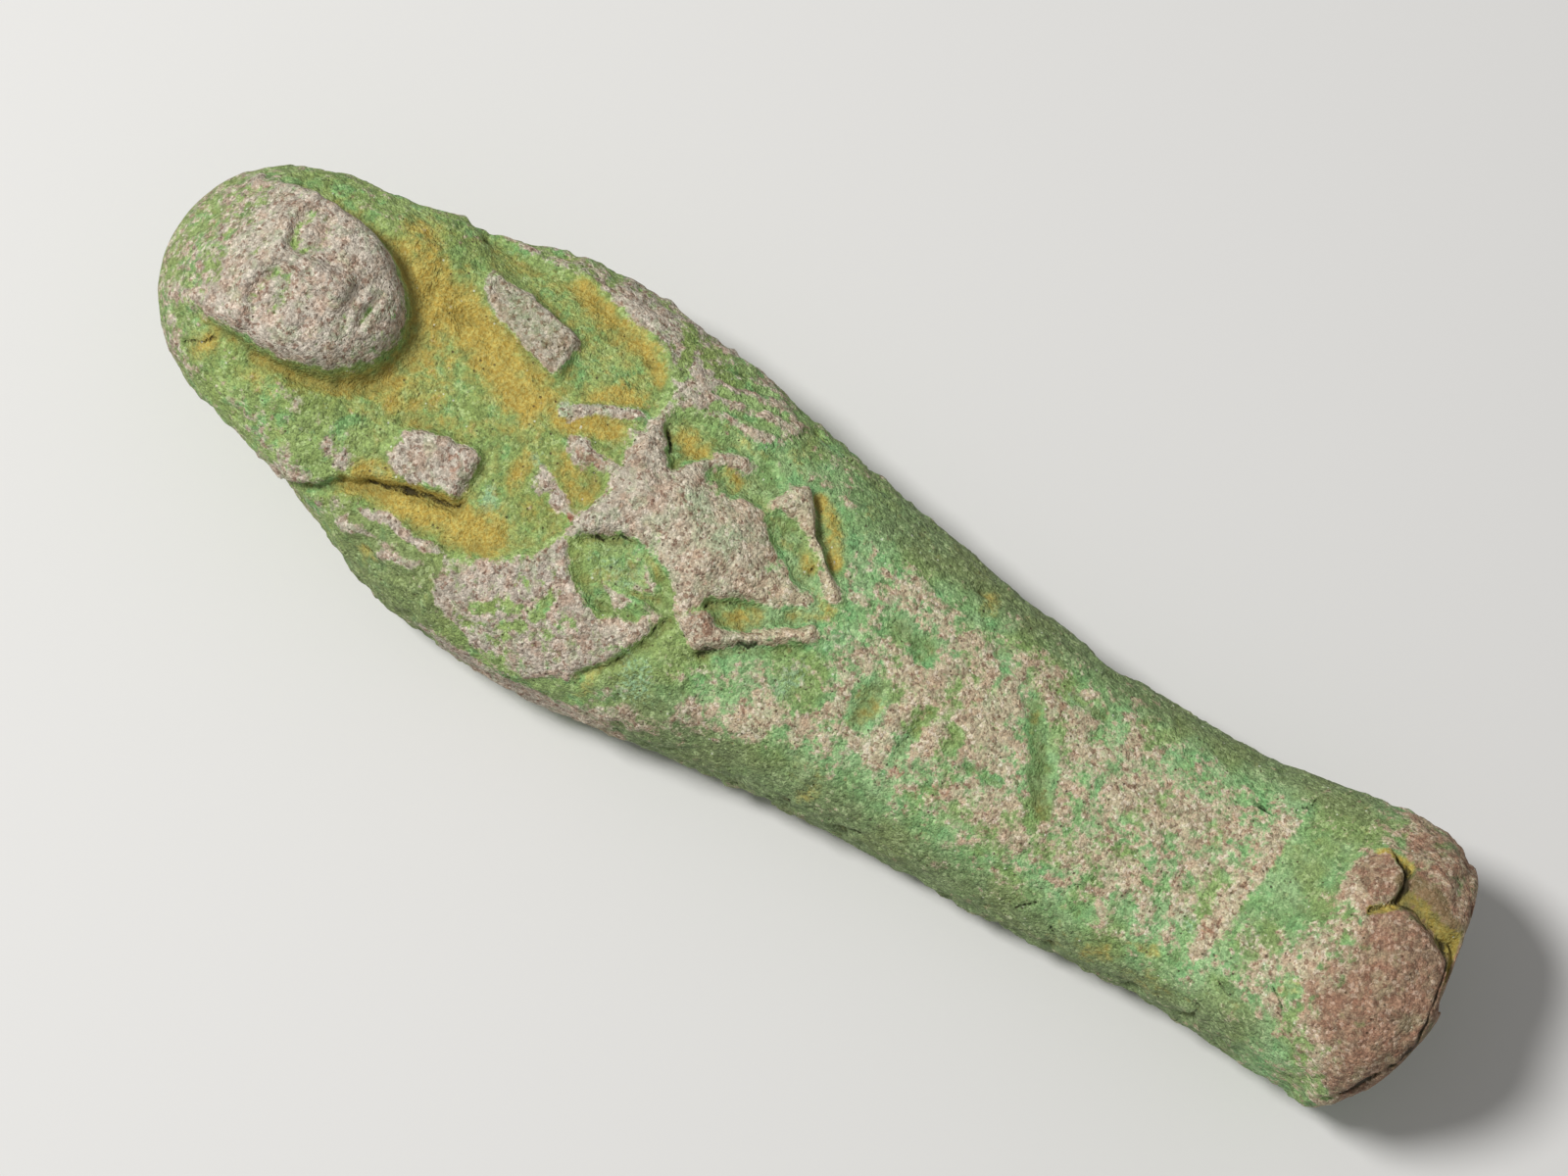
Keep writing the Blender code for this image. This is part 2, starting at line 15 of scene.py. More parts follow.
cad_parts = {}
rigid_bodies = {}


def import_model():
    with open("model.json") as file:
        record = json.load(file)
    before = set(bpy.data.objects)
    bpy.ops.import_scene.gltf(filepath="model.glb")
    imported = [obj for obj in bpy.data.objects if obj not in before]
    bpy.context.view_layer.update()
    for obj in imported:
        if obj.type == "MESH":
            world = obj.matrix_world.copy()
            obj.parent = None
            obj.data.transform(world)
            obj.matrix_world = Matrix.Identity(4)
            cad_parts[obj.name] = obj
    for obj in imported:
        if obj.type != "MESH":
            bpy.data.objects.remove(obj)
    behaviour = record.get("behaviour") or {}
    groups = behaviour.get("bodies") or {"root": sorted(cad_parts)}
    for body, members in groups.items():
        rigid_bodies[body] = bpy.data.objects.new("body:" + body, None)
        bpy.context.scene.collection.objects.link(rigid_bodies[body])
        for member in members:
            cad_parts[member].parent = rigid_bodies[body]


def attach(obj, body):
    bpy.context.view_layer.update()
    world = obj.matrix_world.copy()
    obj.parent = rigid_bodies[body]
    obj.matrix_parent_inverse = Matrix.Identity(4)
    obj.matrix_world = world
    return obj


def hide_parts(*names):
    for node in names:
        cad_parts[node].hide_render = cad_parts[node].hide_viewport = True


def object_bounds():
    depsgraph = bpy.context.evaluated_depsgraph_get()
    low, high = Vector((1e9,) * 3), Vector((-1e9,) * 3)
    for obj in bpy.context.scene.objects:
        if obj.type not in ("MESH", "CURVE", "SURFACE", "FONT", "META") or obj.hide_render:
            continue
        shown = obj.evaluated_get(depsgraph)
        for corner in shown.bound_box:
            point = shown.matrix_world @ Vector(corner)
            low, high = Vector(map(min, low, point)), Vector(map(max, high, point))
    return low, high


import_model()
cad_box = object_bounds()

MM = 0.001
print("solid in mm:", [round((b - a) / MM, 1) for a, b in zip(*cad_box)])

# %% [markdown]
# ## Working on an unrolled skin
# Carving on a rounded body is easiest to plan on its skin laid flat, as a potter sketches on clay before
# bending it. Every place is a pair: `u` is how far round from the middle of the front, and `v` how far down
# from the crown, both in millimetres. Sculpting by hand would also work, but a height worked out for each
# (u, v) stays exact and can be changed by one number. These helpers give soft steps, ovals, lines and areas.

# %% Helpers for shapes on the skin
def smooth(x):
    x = np.clip(x, 0, 1)
    return x * x * (3 - 2 * x)


def between(x, start, end):
    return smooth((x - start) / (end - start))


def fade(x, start, end):
    return 1 - between(x, start, end)


def edge(inside, width):
    return smooth(0.5 + inside / width)


def oval(u, v, centre_u, centre_v, half_u, half_v):
    reach = np.hypot((u - centre_u) / half_u, (v - centre_v) / half_v)
    return (1 - reach) * min(half_u, half_v)


def from_line(u, v, points):
    nearest = np.full(u.shape, 1e9)
    for (u0, v0), (u1, v1) in zip(points, points[1:]):
        du = u1 - u0
        dv = v1 - v0
        t = np.clip(((u - u0) * du + (v - v0) * dv) / (du * du + dv * dv), 0, 1)
        nearest = np.minimum(nearest, np.hypot(u - u0 - t * du, v - v0 - t * dv))
    return nearest


def area(u, v, corners):
    closed = corners + corners[:1]
    odd = np.zeros(u.shape, bool)
    for (u0, v0), (u1, v1) in zip(closed, closed[1:]):
        if v0 != v1:
            crossing = (v0 > v) != (v1 > v)
            odd ^= crossing & (u < (u1 - u0) * (v - v0) / (v1 - v0) + u0)
    return np.where(odd, 1, -1) * from_line(u, v, closed)


def ridge(u, v, points, half_width, height):
    return height * (1 - smooth(from_line(u, v, points) / half_width))


def ridges(u, v, lines):
    return sum(ridge(u, v, points, half_width, height) for points, half_width, height in lines)


def curve(table, x):
    at, value = np.array(table, float).T
    slope = np.gradient(value, at)
    x = np.clip(x, at[0], at[-1])
    i = np.clip(np.searchsorted(at, x, side="right") - 1, 0, len(at) - 2)
    span = at[i + 1] - at[i]
    t = (x - at[i]) / span
    start = (1 + 2 * t) * (1 - t) ** 2 * value[i] + t * (1 - t) ** 2 * slope[i] * span
    end = t * t * (3 - 2 * t) * value[i + 1] + t * t * (t - 1) * slope[i + 1] * span
    return start + end


print("a soft step halfway up:", smooth(0.5))

# %% [markdown]
# ## The plain body
# Under the carving the figure is a flattened oval that swells at the shoulders, tapers down the shins and
# rises again over the feet. A short table of stations holds its size at a few heights, and a smooth curve
# runs between them, the way a boat builder fairs a hull between frames. The back was pressed flat on the
# mould's open side, so the lower half of each section is cut off level.

# %% Stations of the body
HEIGHT = 115
CROWN_DEPTH = 11
SOLE_DEPTH = 5.4
FRONT_ROUNDNESS = 2.3
HEAD_BACK_ROUNDNESS = 2.2
BODY_BACK_ROUNDNESS = 3.2
BODY_BACK_FLATTENING = 0.12

# Down from the crown, half width, level of the widest line, front height, back height, sideways lean.
STATIONS = [
    (0, 11, 14.2, 19, 5.6, -0.3),
    (5, 10.5, 14, 19.8, 4.4, -0.35),
    (10, 10.75, 13.8, 20.2, 3.2, -0.35),
    (15, 11.55, 13.6, 19.6, 2.1, -0.4),
    (20, 12.9, 12.6, 18.2, 1.1, -0.3),
    (24, 14.45, 11, 17.8, 0.4, -0.2),
    (28, 15.75, 10.8, 18, 0, 0),
    (33, 16.1, 10.2, 18.3, 0, -0.15),
    (40, 15.9, 9.4, 18.4, 0, -0.3),
    (48, 15.05, 9, 17.7, 0, -0.05),
    (56, 13.65, 8.9, 16.8, 0, 0.05),
    (66, 12.3, 8.5, 16.2, 0, 0),
    (76, 11.45, 8, 15.6, 0, -0.15),
    (88, 10.9, 8.2, 15, 0, 0.05),
    (96, 10.7, 9.4, 15.5, 0, 0.5),
    (101, 11.1, 11.2, 17.8, 0, 0.7),
    (106, 11.5, 12.4, 21.2, 0.2, 0.65),
    (109, 11.45, 12.4, 22.8, 0.5, 0.6),
    (111, 11.45, 12.4, 22.8, 0.7, 0),
    (112.8, 11.2, 12.4, 22.8, 0.8, -0.4),
    (113.6, 8.6, 12.4, 22.8, 0.9, -2.6),
    (114.3, 6, 12.4, 22.8, 0.9, -2.8),
    (HEIGHT, 4, 12.4, 22.8, 1, -1.4),
]
print("stations down the body:", len(STATIONS))


def end_share(v):
    crown = np.clip(1 - v / CROWN_DEPTH, 0, 1)
    sole = np.clip((v - HEIGHT + SOLE_DEPTH) / SOLE_DEPTH, 0, 1)
    wide = np.sqrt(np.maximum(1 - crown ** 2, 0)) * np.sqrt(np.maximum(1 - sole ** 2, 0))
    deep = np.sqrt(np.maximum(1 - crown ** 2.2, 0)) * np.maximum(1 - sole ** 4, 0) ** 0.3
    return wide, deep


def section(v, steps=361):
    down = [row[0] for row in STATIONS]
    half, widest, front, back, lean = (
        float(curve(list(zip(down, [row[k] for row in STATIONS])), np.array([v]))[0]) for k in range(1, 6)
    )
    wide, deep = (float(share[0]) for share in end_share(np.array([v])))
    turn = np.linspace(0, np.pi, steps)
    up = np.abs(np.cos(turn))
    out = np.abs(np.sin(turn))
    is_front = np.cos(turn) >= 0
    body = float(between(np.array([v]), 16, 32)[0])
    back_roundness = HEAD_BACK_ROUNDNESS + (BODY_BACK_ROUNDNESS - HEAD_BACK_ROUNDNESS) * body
    flattening = 1 + BODY_BACK_FLATTENING * body
    power = np.where(is_front, 2 / FRONT_ROUNDNESS, 2 / back_roundness)
    x = half * out ** power
    z = np.where(is_front, widest + (front - widest) * up ** power,
                 widest - (widest - back) * flattening * up ** power)
    z = np.maximum(z, back)
    return x * wide, widest + (z - widest) * deep, lean

# %% [markdown]
# ## A fine skin over the body
# The relief needs points about a quarter of a millimetre apart on the front, and far fewer on the flat back.
# Rows run from crown to sole, closer together where the ends round over. Columns run round each section,
# placed by shares of its half girth, so they crowd on the front and stay in line from row to row.

# %% Rows and columns of the skin
ROWS = 436
COLUMNS = 216
ROW_SPACING = [(0, 0.15), (3, 0.6), (9, 1), (100, 1), (110, 0.9), (113, 0.5), (HEIGHT, 0.1)]
COLUMN_SPACING = [(0, 0), (0.76, 0.5), (0.88, 0.64), (1, 1)]


def row_places(count):
    v = np.linspace(0, HEIGHT, 2001)
    at, gap = np.array(ROW_SPACING, float).T
    dense = np.cumsum(1 / np.interp(v, at, gap))
    dense = (dense - dense[0]) / (dense[-1] - dense[0])
    return np.interp(np.linspace(0, 1, count + 2)[1:-1], dense, v)


def column_shares(count):
    at, share = np.array(COLUMN_SPACING, float).T
    half = np.interp(np.linspace(0, 1, count // 2 + 1), at, share)
    return np.concatenate([-half[::-1][:-1], half[:-1]])


rows = row_places(ROWS)
shares = column_shares(COLUMNS)
skin = np.zeros((ROWS, COLUMNS, 3))
outward = np.zeros((ROWS, COLUMNS, 3))
U = np.zeros((ROWS, COLUMNS))
for i, down in enumerate(rows):
    x, z, lean = section(down)
    run = np.concatenate([[0], np.cumsum(np.hypot(np.diff(x), np.diff(z)) + 1e-6)])
    at = np.abs(shares) * run[-1]
    side = np.where(shares < 0, -1, 1)
    slope_x = np.interp(at, run, np.gradient(x, run))
    slope_z = np.interp(at, run, np.gradient(z, run))
    size = np.hypot(slope_x, slope_z) + 1e-9
    skin[i, :, 0] = lean + side * np.interp(at, run, x)
    skin[i, :, 1] = HEIGHT / 2 - down
    skin[i, :, 2] = np.interp(at, run, z)
    outward[i, :, 0] = -side * slope_z / size
    outward[i, :, 2] = slope_x / size
    U[i] = side * at
V = np.repeat(rows[:, None], COLUMNS, axis=1)
SHARE = np.repeat(np.abs(shares)[None, :], ROWS, axis=0)
middle_row = U[ROWS // 2]
column_gap = middle_row[COLUMNS // 2 + 1] - middle_row[COLUMNS // 2]
print("skin points:", ROWS * COLUMNS, "with front columns", round(column_gap, 2), "mm apart")

# %% [markdown]
# ## The wig
# Figures of this kind wear a plain heavy wig that covers the head and falls forward over the shoulders in two
# tresses with flat ends. On the skin it is one outline raised by three quarters of a millimetre. Its outer
# edge on the viewer's left was cut deep and keeps a dark undercut, so a narrow groove follows it there.

# %% Carve the wig
WIG_LEFT = [
    (-19, 15.6), (-15.6, 17), (-13, 19.2), (-11.2, 21.4), (-10, 23.4), (-9.2, 25.8), (-8.6, 28.2),
    (-8.2, 30),
]
WIG_RIGHT = [(19, 16), (15.4, 17.6), (13, 19.8), (11.2, 21.8), (10.2, 24), (9.2, 27.6), (8.3, 31.4)]
TRESS_GAP = [
    (4.4, 31.4), (5.1, 28), (5.9, 25.4), (6.9, 22), (7.2, 17), (6.4, 11), (-6.4, 11), (-7, 18),
    (-5.6, 22.8), (-4.5, 25.6), (-4, 29.8),
]
PADS = [
    [(-8.2, 23.5), (-5.3, 23.3), (-4.3, 25.6), (-3.9, 29.4), (-5.4, 29.9), (-8.2, 30)],
    [(7.6, 22.4), (9.5, 22.6), (9, 26.4), (8.1, 31.4), (4.6, 31.3), (5.2, 28), (6.2, 25)],
]
WIG_HEIGHT = 0.75
PAD_HEIGHT = 0.5
print("the wig rises", WIG_HEIGHT, "mm, its flat ends", PAD_HEIGHT, "mm more")


def wig(u, v):
    outline = WIG_LEFT + TRESS_GAP[::-1] + WIG_RIGHT[::-1]
    outline += [(19, -9), (-19, -9)]
    grown = between(v, 12, 20)
    softness = 0.9 + 2.9 * fade(v, 21, 25) * fade(np.abs(u), 6.5, 9)
    softness += 0.7 * between(u, 6, 9)
    height = WIG_HEIGHT * edge(area(u, v, outline), softness) * grown
    for pad in PADS:
        height += PAD_HEIGHT * edge(area(u, v, pad), 1.1)
    return height - ridge(u, v, [(a - 0.5, b + 0.3) for a, b in WIG_LEFT[1:]], 0.9, 0.6)

# %% [markdown]
# ## The face
# The face is a calm, plain one, set out by the shares a drawing class teaches: eyes halfway down the head,
# the nose ending halfway from the eyes to the chin, and the mouth a third of the way below it. Wear has
# softened it, so each feature is a low swelling or a shallow dip with wide, soft edges.

# %% Carve the face
CHIN = 20
EYE_LINE = CHIN / 2
NOSE_END = (EYE_LINE + CHIN) / 2
MOUTH_LINE = NOSE_END + (CHIN - NOSE_END) / 3
HAIRLINE = CHIN / 5
CHEEK_LINE = EYE_LINE + 1.2
FACE_HALF_WIDTH = CHIN / 3
EYE_WIDTH = FACE_HALF_WIDTH * 2 / 5
FACE_HEIGHT = 2.4
print("eyes, nose and mouth:", EYE_LINE, NOSE_END, round(MOUTH_LINE, 1), "mm down")


def face_inside(u, v):
    below = np.maximum(v - CHEEK_LINE, 0) / (CHIN + 0.4 - CHEEK_LINE)
    return (1 - np.hypot(u / FACE_HALF_WIDTH, below)) * FACE_HALF_WIDTH


def eyes_and_brows(side, v):
    height = -0.6 * edge(oval(side, v, EYE_WIDTH, EYE_LINE + 0.1, 2, 1.3), 1.5)
    height += 0.45 * edge(oval(side, v, EYE_WIDTH, EYE_LINE + 0.15, 1.25, 0.65), 0.8)
    lid = [(EYE_WIDTH - 1.3, EYE_LINE - 0.1), (EYE_WIDTH, EYE_LINE - 0.75), (EYE_WIDTH + 1.4, EYE_LINE - 0.1)]
    brow = [(0.8, EYE_LINE - 1.5), (EYE_WIDTH, EYE_LINE - 2.3), (EYE_WIDTH + 2.2, EYE_LINE - 1.4)]
    return height + ridge(side, v, lid, 0.5, 0.18) + ridge(side, v, brow, 1, 0.36)


def nose(side, v):
    half = 0.6 + 0.7 * between(v, EYE_LINE, NOSE_END)
    across = 1 - smooth((side - 0.15) / (half + 0.4))
    rise = 0.45 + 0.8 * between(v, EYE_LINE - 1.5, NOSE_END - 0.6)
    ends = between(v, EYE_LINE - 2.6, EYE_LINE - 0.6) * fade(v, NOSE_END - 0.4, NOSE_END + 0.6)
    return across * rise * ends + 0.25 * edge(oval(side, v, 1.1, NOSE_END - 0.6, 0.7, 0.6), 0.7)


def mouth_and_chin(u, v):
    upper = [(-1.9, MOUTH_LINE), (-0.6, MOUTH_LINE - 0.45), (0.6, MOUTH_LINE - 0.45), (1.9, MOUTH_LINE)]
    lower = [(-1.2, MOUTH_LINE + 0.7), (1.2, MOUTH_LINE + 0.7)]
    height = ridge(u, v, upper, 0.6, 0.38) + ridge(u, v, lower, 0.7, 0.42)
    height -= ridge(u, v, [(-2, MOUTH_LINE + 0.1), (2, MOUTH_LINE + 0.1)], 0.4, 0.36)
    height -= 0.22 * edge(oval(u, v, 0, MOUTH_LINE + 1.6, 1.7, 0.5), 0.8)
    return height + 0.4 * edge(oval(u, v, 0, CHIN - 1, 2, 1.1), 1.4)


def face(u, v):
    side = np.abs(u)
    inside = face_inside(u, v)
    boss = FACE_HEIGHT * edge(inside - 0.7, 2) * between(v, 1.5, 9)
    boss += 0.6 * smooth(inside / FACE_HALF_WIDTH) * between(v, 1.5, 6)
    rim = (1 - smooth(np.abs(inside + 0.4) / 1.2)) * between(v, 6, 12)
    rim_depth = 0.35 + 0.3 * fade(u, -4, 2)
    features = eyes_and_brows(side, v) + nose(side, v) + mouth_and_chin(u, v)
    features += 0.26 * edge(oval(side, v, 3.9, NOSE_END - 1.4, 1.7, 2), 2)
    features += 0.22 * fade(v, HAIRLINE - 0.4, HAIRLINE + 0.6) * between(v, 1, 3)
    return boss - rim_depth * rim + features * edge(inside - 0.6, 1.2)

# %% [markdown]
# ## Collar field and shoulder bars
# Below the chin lies a sunk field shaped like a broad collar, and the ends of the beads or plumes that once
# hung over the shoulder survive as short bars. A field is an area pressed down, a bar a short line raised.

# %% Carve the chest
FIELD = [
    (-11.9, 11), (-12, 31.4), (-11, 33.4), (-9.5, 35.6), (-8, 37), (-6.2, 38), (-5, 37.8), (-4.2, 38.8),
    (6, 39.4), (8.8, 39), (10.6, 37.6), (12, 35.4), (12.9, 32.4), (13.3, 29), (13.6, 11),
]
FIELD_DEPTH = 0.8
SHOULDER_BARS = [
    ([(-12.4, 24.2), (-12.3, 30.8)], 0.6, 0.35), ([(-14.6, 23.8), (-13.6, 25.2)], 0.9, 0.4),
    ([(-15, 26.8), (-14.2, 29.8)], 0.8, 0.45), ([(-16.4, 29.4), (-15.2, 31)], 0.8, 0.4),
]
print("shoulder bars:", len(SHOULDER_BARS))


def chest(u, v):
    field = -FIELD_DEPTH * edge(area(u, v, FIELD), 1.3) * between(v, 14, 24)
    return field + ridges(u, v, SHOULDER_BARS)

# %% [markdown]
# ## The winged beetle
# A beetle with spread wings covers the breast, an old sign of renewal that many such figures carry. Its body
# is one outline with a soft crown, the legs are raised lines, and the wings are low areas cut by feather
# grooves. The hollows between wing and body are pressed down, because they frame the insect more than its own
# height. An entry for a line holds its points, its half width and how far it rises or sinks.

# %% Carve the beetle
BEETLE = [
    (-5.2, 39.2), (-4, 38.2), (0.6, 38.8), (4.4, 38), (6.9, 39.7), (4.9, 41.2), (3.4, 42.6), (4.9, 43.9),
    (3.9, 45.6), (3.7, 47.4), (4.3, 49.4), (3.2, 51.1), (1.9, 53), (0.8, 54.8), (0.2, 57.2), (-0.5, 57.3),
    (-1.5, 55.4), (-2.4, 53.7), (-3.2, 51.8), (-4.4, 50.3), (-6.9, 49.4), (-5.6, 47.8), (-4.2, 46.6),
    (-3.5, 45), (-3.1, 42.8), (-4, 41.2),
]
BEETLE_HEAD = [(0.7, 35.8), (0.7, 39.5)]
BEETLE_HEAD_SIZE = (1.5, 0.7)
THIN_LEGS = [
    ([(-2.8, 34.6), (-3.8, 36.4), (-4.2, 38.6)], 0.8, 0.35),
    ([(2.6, 33.2), (4.1, 35), (5.2, 37), (5.8, 38.8)], 0.8, 0.5), ([(-3.6, 43.6), (-5.6, 46.6)], 0.9, 0.35),
    ([(3.8, 43.6), (5.8, 45.2), (6.9, 47.4)], 1.1, 0.65),
]
LEFT_HIND_LEG = [
    (-6.9, 48.9), (-8.1, 51.5), (-7.2, 52.9), (-5.9, 53.9), (-4.6, 55.7), (-3.2, 57.9), (-2.2, 58.8),
    (-1.5, 58.2), (-2.4, 56.9), (-3.4, 55.7), (-4.7, 53.9), (-5.5, 52.1), (-5.2, 50.4),
]
RIGHT_HIND_LEG = [
    (5, 50.8), (7.3, 50.9), (7.9, 52.2), (7, 53.5), (5.4, 54.3), (4.4, 55.1), (3.2, 56.9), (1.4, 59),
    (1, 58.2), (2.4, 56.5), (4, 54.8), (5.1, 53),
]
LEFT_HOLLOW = [
    (-8.4, 40.6), (-6.2, 38.9), (-5, 39.4), (-4, 41.2), (-3.2, 43), (-3.6, 45.2), (-4.3, 46.8),
    (-5.8, 48.2), (-6.9, 47.8), (-7.6, 44.6), (-9.4, 43.6),
]
RIGHT_HOLLOW = [
    (3.4, 42.6), (6.6, 40.4), (7.8, 40.6), (7.9, 44), (8.4, 49), (7.2, 50.2), (4.4, 50.4), (3.8, 47.4),
    (4.4, 45.6), (5.2, 44.2),
]
LEFT_LEG_GAP = [
    (-5, 50.6), (-4.2, 50.4), (-3.3, 51.8), (-2.4, 53.8), (-1.4, 56.2), (-1.6, 57.4), (-2.6, 57),
    (-3.6, 55.4), (-4.9, 53.6), (-5.4, 52),
]
RIGHT_LEG_GAP = [
    (3.6, 50.8), (4.9, 51.2), (5, 52.8), (4, 54.2), (2.4, 56.2), (0.9, 56.6), (0.9, 54.8), (2.2, 52.6),
]
HIND_LEGS = [LEFT_HIND_LEG, RIGHT_HIND_LEG]
HOLLOWS = [(LEFT_HOLLOW, 0.42), (RIGHT_HOLLOW, 0.5), (LEFT_LEG_GAP, 0.4), (RIGHT_LEG_GAP, 0.3)]
LEFT_WING = [
    (-20, 32), (-12.4, 31.6), (-11, 33.6), (-9.5, 35.8), (-8, 37.2), (-6.2, 38.2), (-6.4, 39.4),
    (-8.6, 40.8), (-9.8, 43.8), (-8.6, 46), (-6.9, 48), (-8.8, 47.7), (-12, 46.7), (-14.6, 44.6), (-17, 42),
    (-20, 41),
]
RIGHT_WING = [
    (20, 31), (13.4, 31.6), (12.4, 35.2), (10.8, 37.8), (9, 39.2), (7.9, 40.6), (8.2, 44), (8.5, 48.2),
    (10.4, 49.2), (13.4, 49.4), (16.5, 46.5), (20, 43),
]
LEFT_FEATHERS = [
    ([(-7.9, 42.8), (-7.2, 46.8)], 0.55, 0.4), ([(-6.9, 43.2), (-6.1, 46.2)], 0.5, 0.35),
    ([(-9.3, 42.6), (-8.4, 46.4)], 0.6, -0.3), ([(-13.6, 35.6), (-14.4, 38)], 0.8, -0.2),
    ([(-11.2, 39.4), (-10.2, 40.2)], 0.8, -0.2),
]
RIGHT_FEATHERS = [([(8.4 + 1.25 * k, 43.2 - 0.55 * k), (9.2 + 1.75 * k, 49.6 - 1.15 * k)], 0.5, -0.32)
                  for k in range(5)] + [([(12.4, 37.4), (16, 39.4)], 0.6, -0.2)]
UNDERCUTS = [
    ([(-14.6, 45), (-12, 47.2), (-9, 48.2), (-7.2, 48.8)], 0.9, 0.5),
    ([(-8.4, 52), (-6.2, 54.2), (-4.8, 56.2), (-3.5, 58.4)], 0.8, 0.45),
    ([(7.7, 53.4), (5.6, 54.8), (3.6, 57.2)], 0.9, 0.5),
    ([(-5.2, 39.9), (-4.1, 41.4), (-3.3, 43)], 0.6, 0.35),
    ([(6.6, 40.6), (4.4, 41.6), (3.4, 42.6)], 0.6, 0.3),
    ([(-4.9, 50.4), (-3.6, 51.4), (-2.3, 54)], 0.7, 0.4),
]
LEFT_WING_HEIGHT = 0.4
RIGHT_WING_HEIGHT = 0.28
print("lines on the wings:", len(LEFT_FEATHERS + RIGHT_FEATHERS))


def beetle(u, v):
    height = LEFT_WING_HEIGHT * edge(area(u, v, LEFT_WING), 1.2)
    height += RIGHT_WING_HEIGHT * edge(area(u, v, RIGHT_WING), 1.8)
    for hollow, depth in HOLLOWS:
        height -= depth * edge(area(u, v, hollow), 1.1)
    height = height + ridges(u, v, LEFT_FEATHERS + RIGHT_FEATHERS) - ridges(u, v, UNDERCUTS)
    inside = area(u, v, BEETLE)
    insect = 0.42 * edge(inside, 1.4) + 0.95 * smooth(inside / 3.8)
    insect = np.maximum(insect, ridge(u, v, BEETLE_HEAD, *BEETLE_HEAD_SIZE))
    for leg, half_width, rise in THIN_LEGS:
        insect = np.maximum(insect, ridge(u, v, leg, half_width, rise))
    for leg in HIND_LEGS:
        inside = area(u, v, leg)
        insect = np.maximum(insect, 0.8 * edge(inside, 0.9) + 0.3 * smooth(inside / 1.2))
    return height + insect

# %% [markdown]
# ## Strokes, feet and knocks
# Rows of shallow strokes down the skirt stand for the worn writing and are no letters. The feet keep a cleft,
# a small lump and a low band at the ankles. The flanks have lost chips here and there. Each is a small oval
# pressed in, with its centre, half width, half height and depth.

# %% Carve skirt, feet and knocks
STROKES = [
    ([(-6, 65), (-3, 64.8)], 2, 0.35), ([(2.2, 64.2), (2.2, 66.8)], 1.8, 0.35),
    ([(-6.4, 69.1), (-1.6, 69.1)], 0.9, 0.25), ([(-4.8, 72.6), (-2, 72.4)], 0.7, 0.2),
    ([(-3.9, 74.4), (-3.6, 77)], 0.8, 0.25), ([(3.2, 75.9), (0, 78.4), (-4, 81)], 1.5, 0.4),
    ([(5.9, 77.4), (5.5, 81.2)], 0.9, 0.3), ([(-8.3, 71.8), (-7.5, 72)], 0.9, 0.2),
]
KNOCKS = [
    (-17, 68.6, 1.8, 1.1, 0.6), (-16.6, 63.6, 1.8, 0.8, 0.4), (-14.8, 87, 2.4, 1.3, 0.4),
    (-15, 94.8, 1.8, 1.1, 0.7), (-15.6, 99.2, 2.6, 0.9, 0.9), (13.2, 80, 2.8, 2.8, 1.1),
    (-17.4, 49.8, 2, 2, 0.3),
]
SLEEVE = [(-18, 48.2), (-15, 51.6), (-11.5, 56), (-8.5, 60.5)]
# Two bands at the ankles, the cleft between the toes, the groove under the lump and one on the left side.
FOOT_LINES = [
    ([(-7, 96.8), (-3.5, 96.3), (-0.6, 96.7)], 1.2, 0.25), ([(0.4, 97.5), (3, 96.9), (5.2, 97.3)], 1, 0.25),
    ([(3.5, 107.8), (3.1, 109.6), (2.6, 112), (2.2, 115)], 1.6, -1.2),
    ([(1.2, 105.8), (2.2, 106.9), (3.4, 107.3), (5, 107.1), (6.3, 105.6)], 0.7, -0.55),
    ([(-8.8, 98.6), (-10.4, 101.4)], 1.2, -0.25),
]
LUMP = (3.8, 105.2, 2.9, 1.8)
LUMP_HEIGHT = 0.5
print("strokes:", len(STROKES), "and knocks:", len(KNOCKS))


def strokes(u, v):
    return -ridges(u, v, STROKES)


def feet(u, v):
    return ridges(u, v, FOOT_LINES) + LUMP_HEIGHT * edge(oval(u, v, *LUMP), 2)


def knocks(u, v):
    height = ridge(u, v, SLEEVE, 2.4, 0.35)
    for across, down, half_u, half_v, depth in KNOCKS:
        height -= depth * smooth(oval(u, v, across, down, half_u, half_v) / min(half_u, half_v))
    return height


def back_of_wig(share, v):
    behind = between(share, 0.62, 0.74)
    return -0.5 * behind * (1 - smooth(np.abs(v - 25) / 1.2))
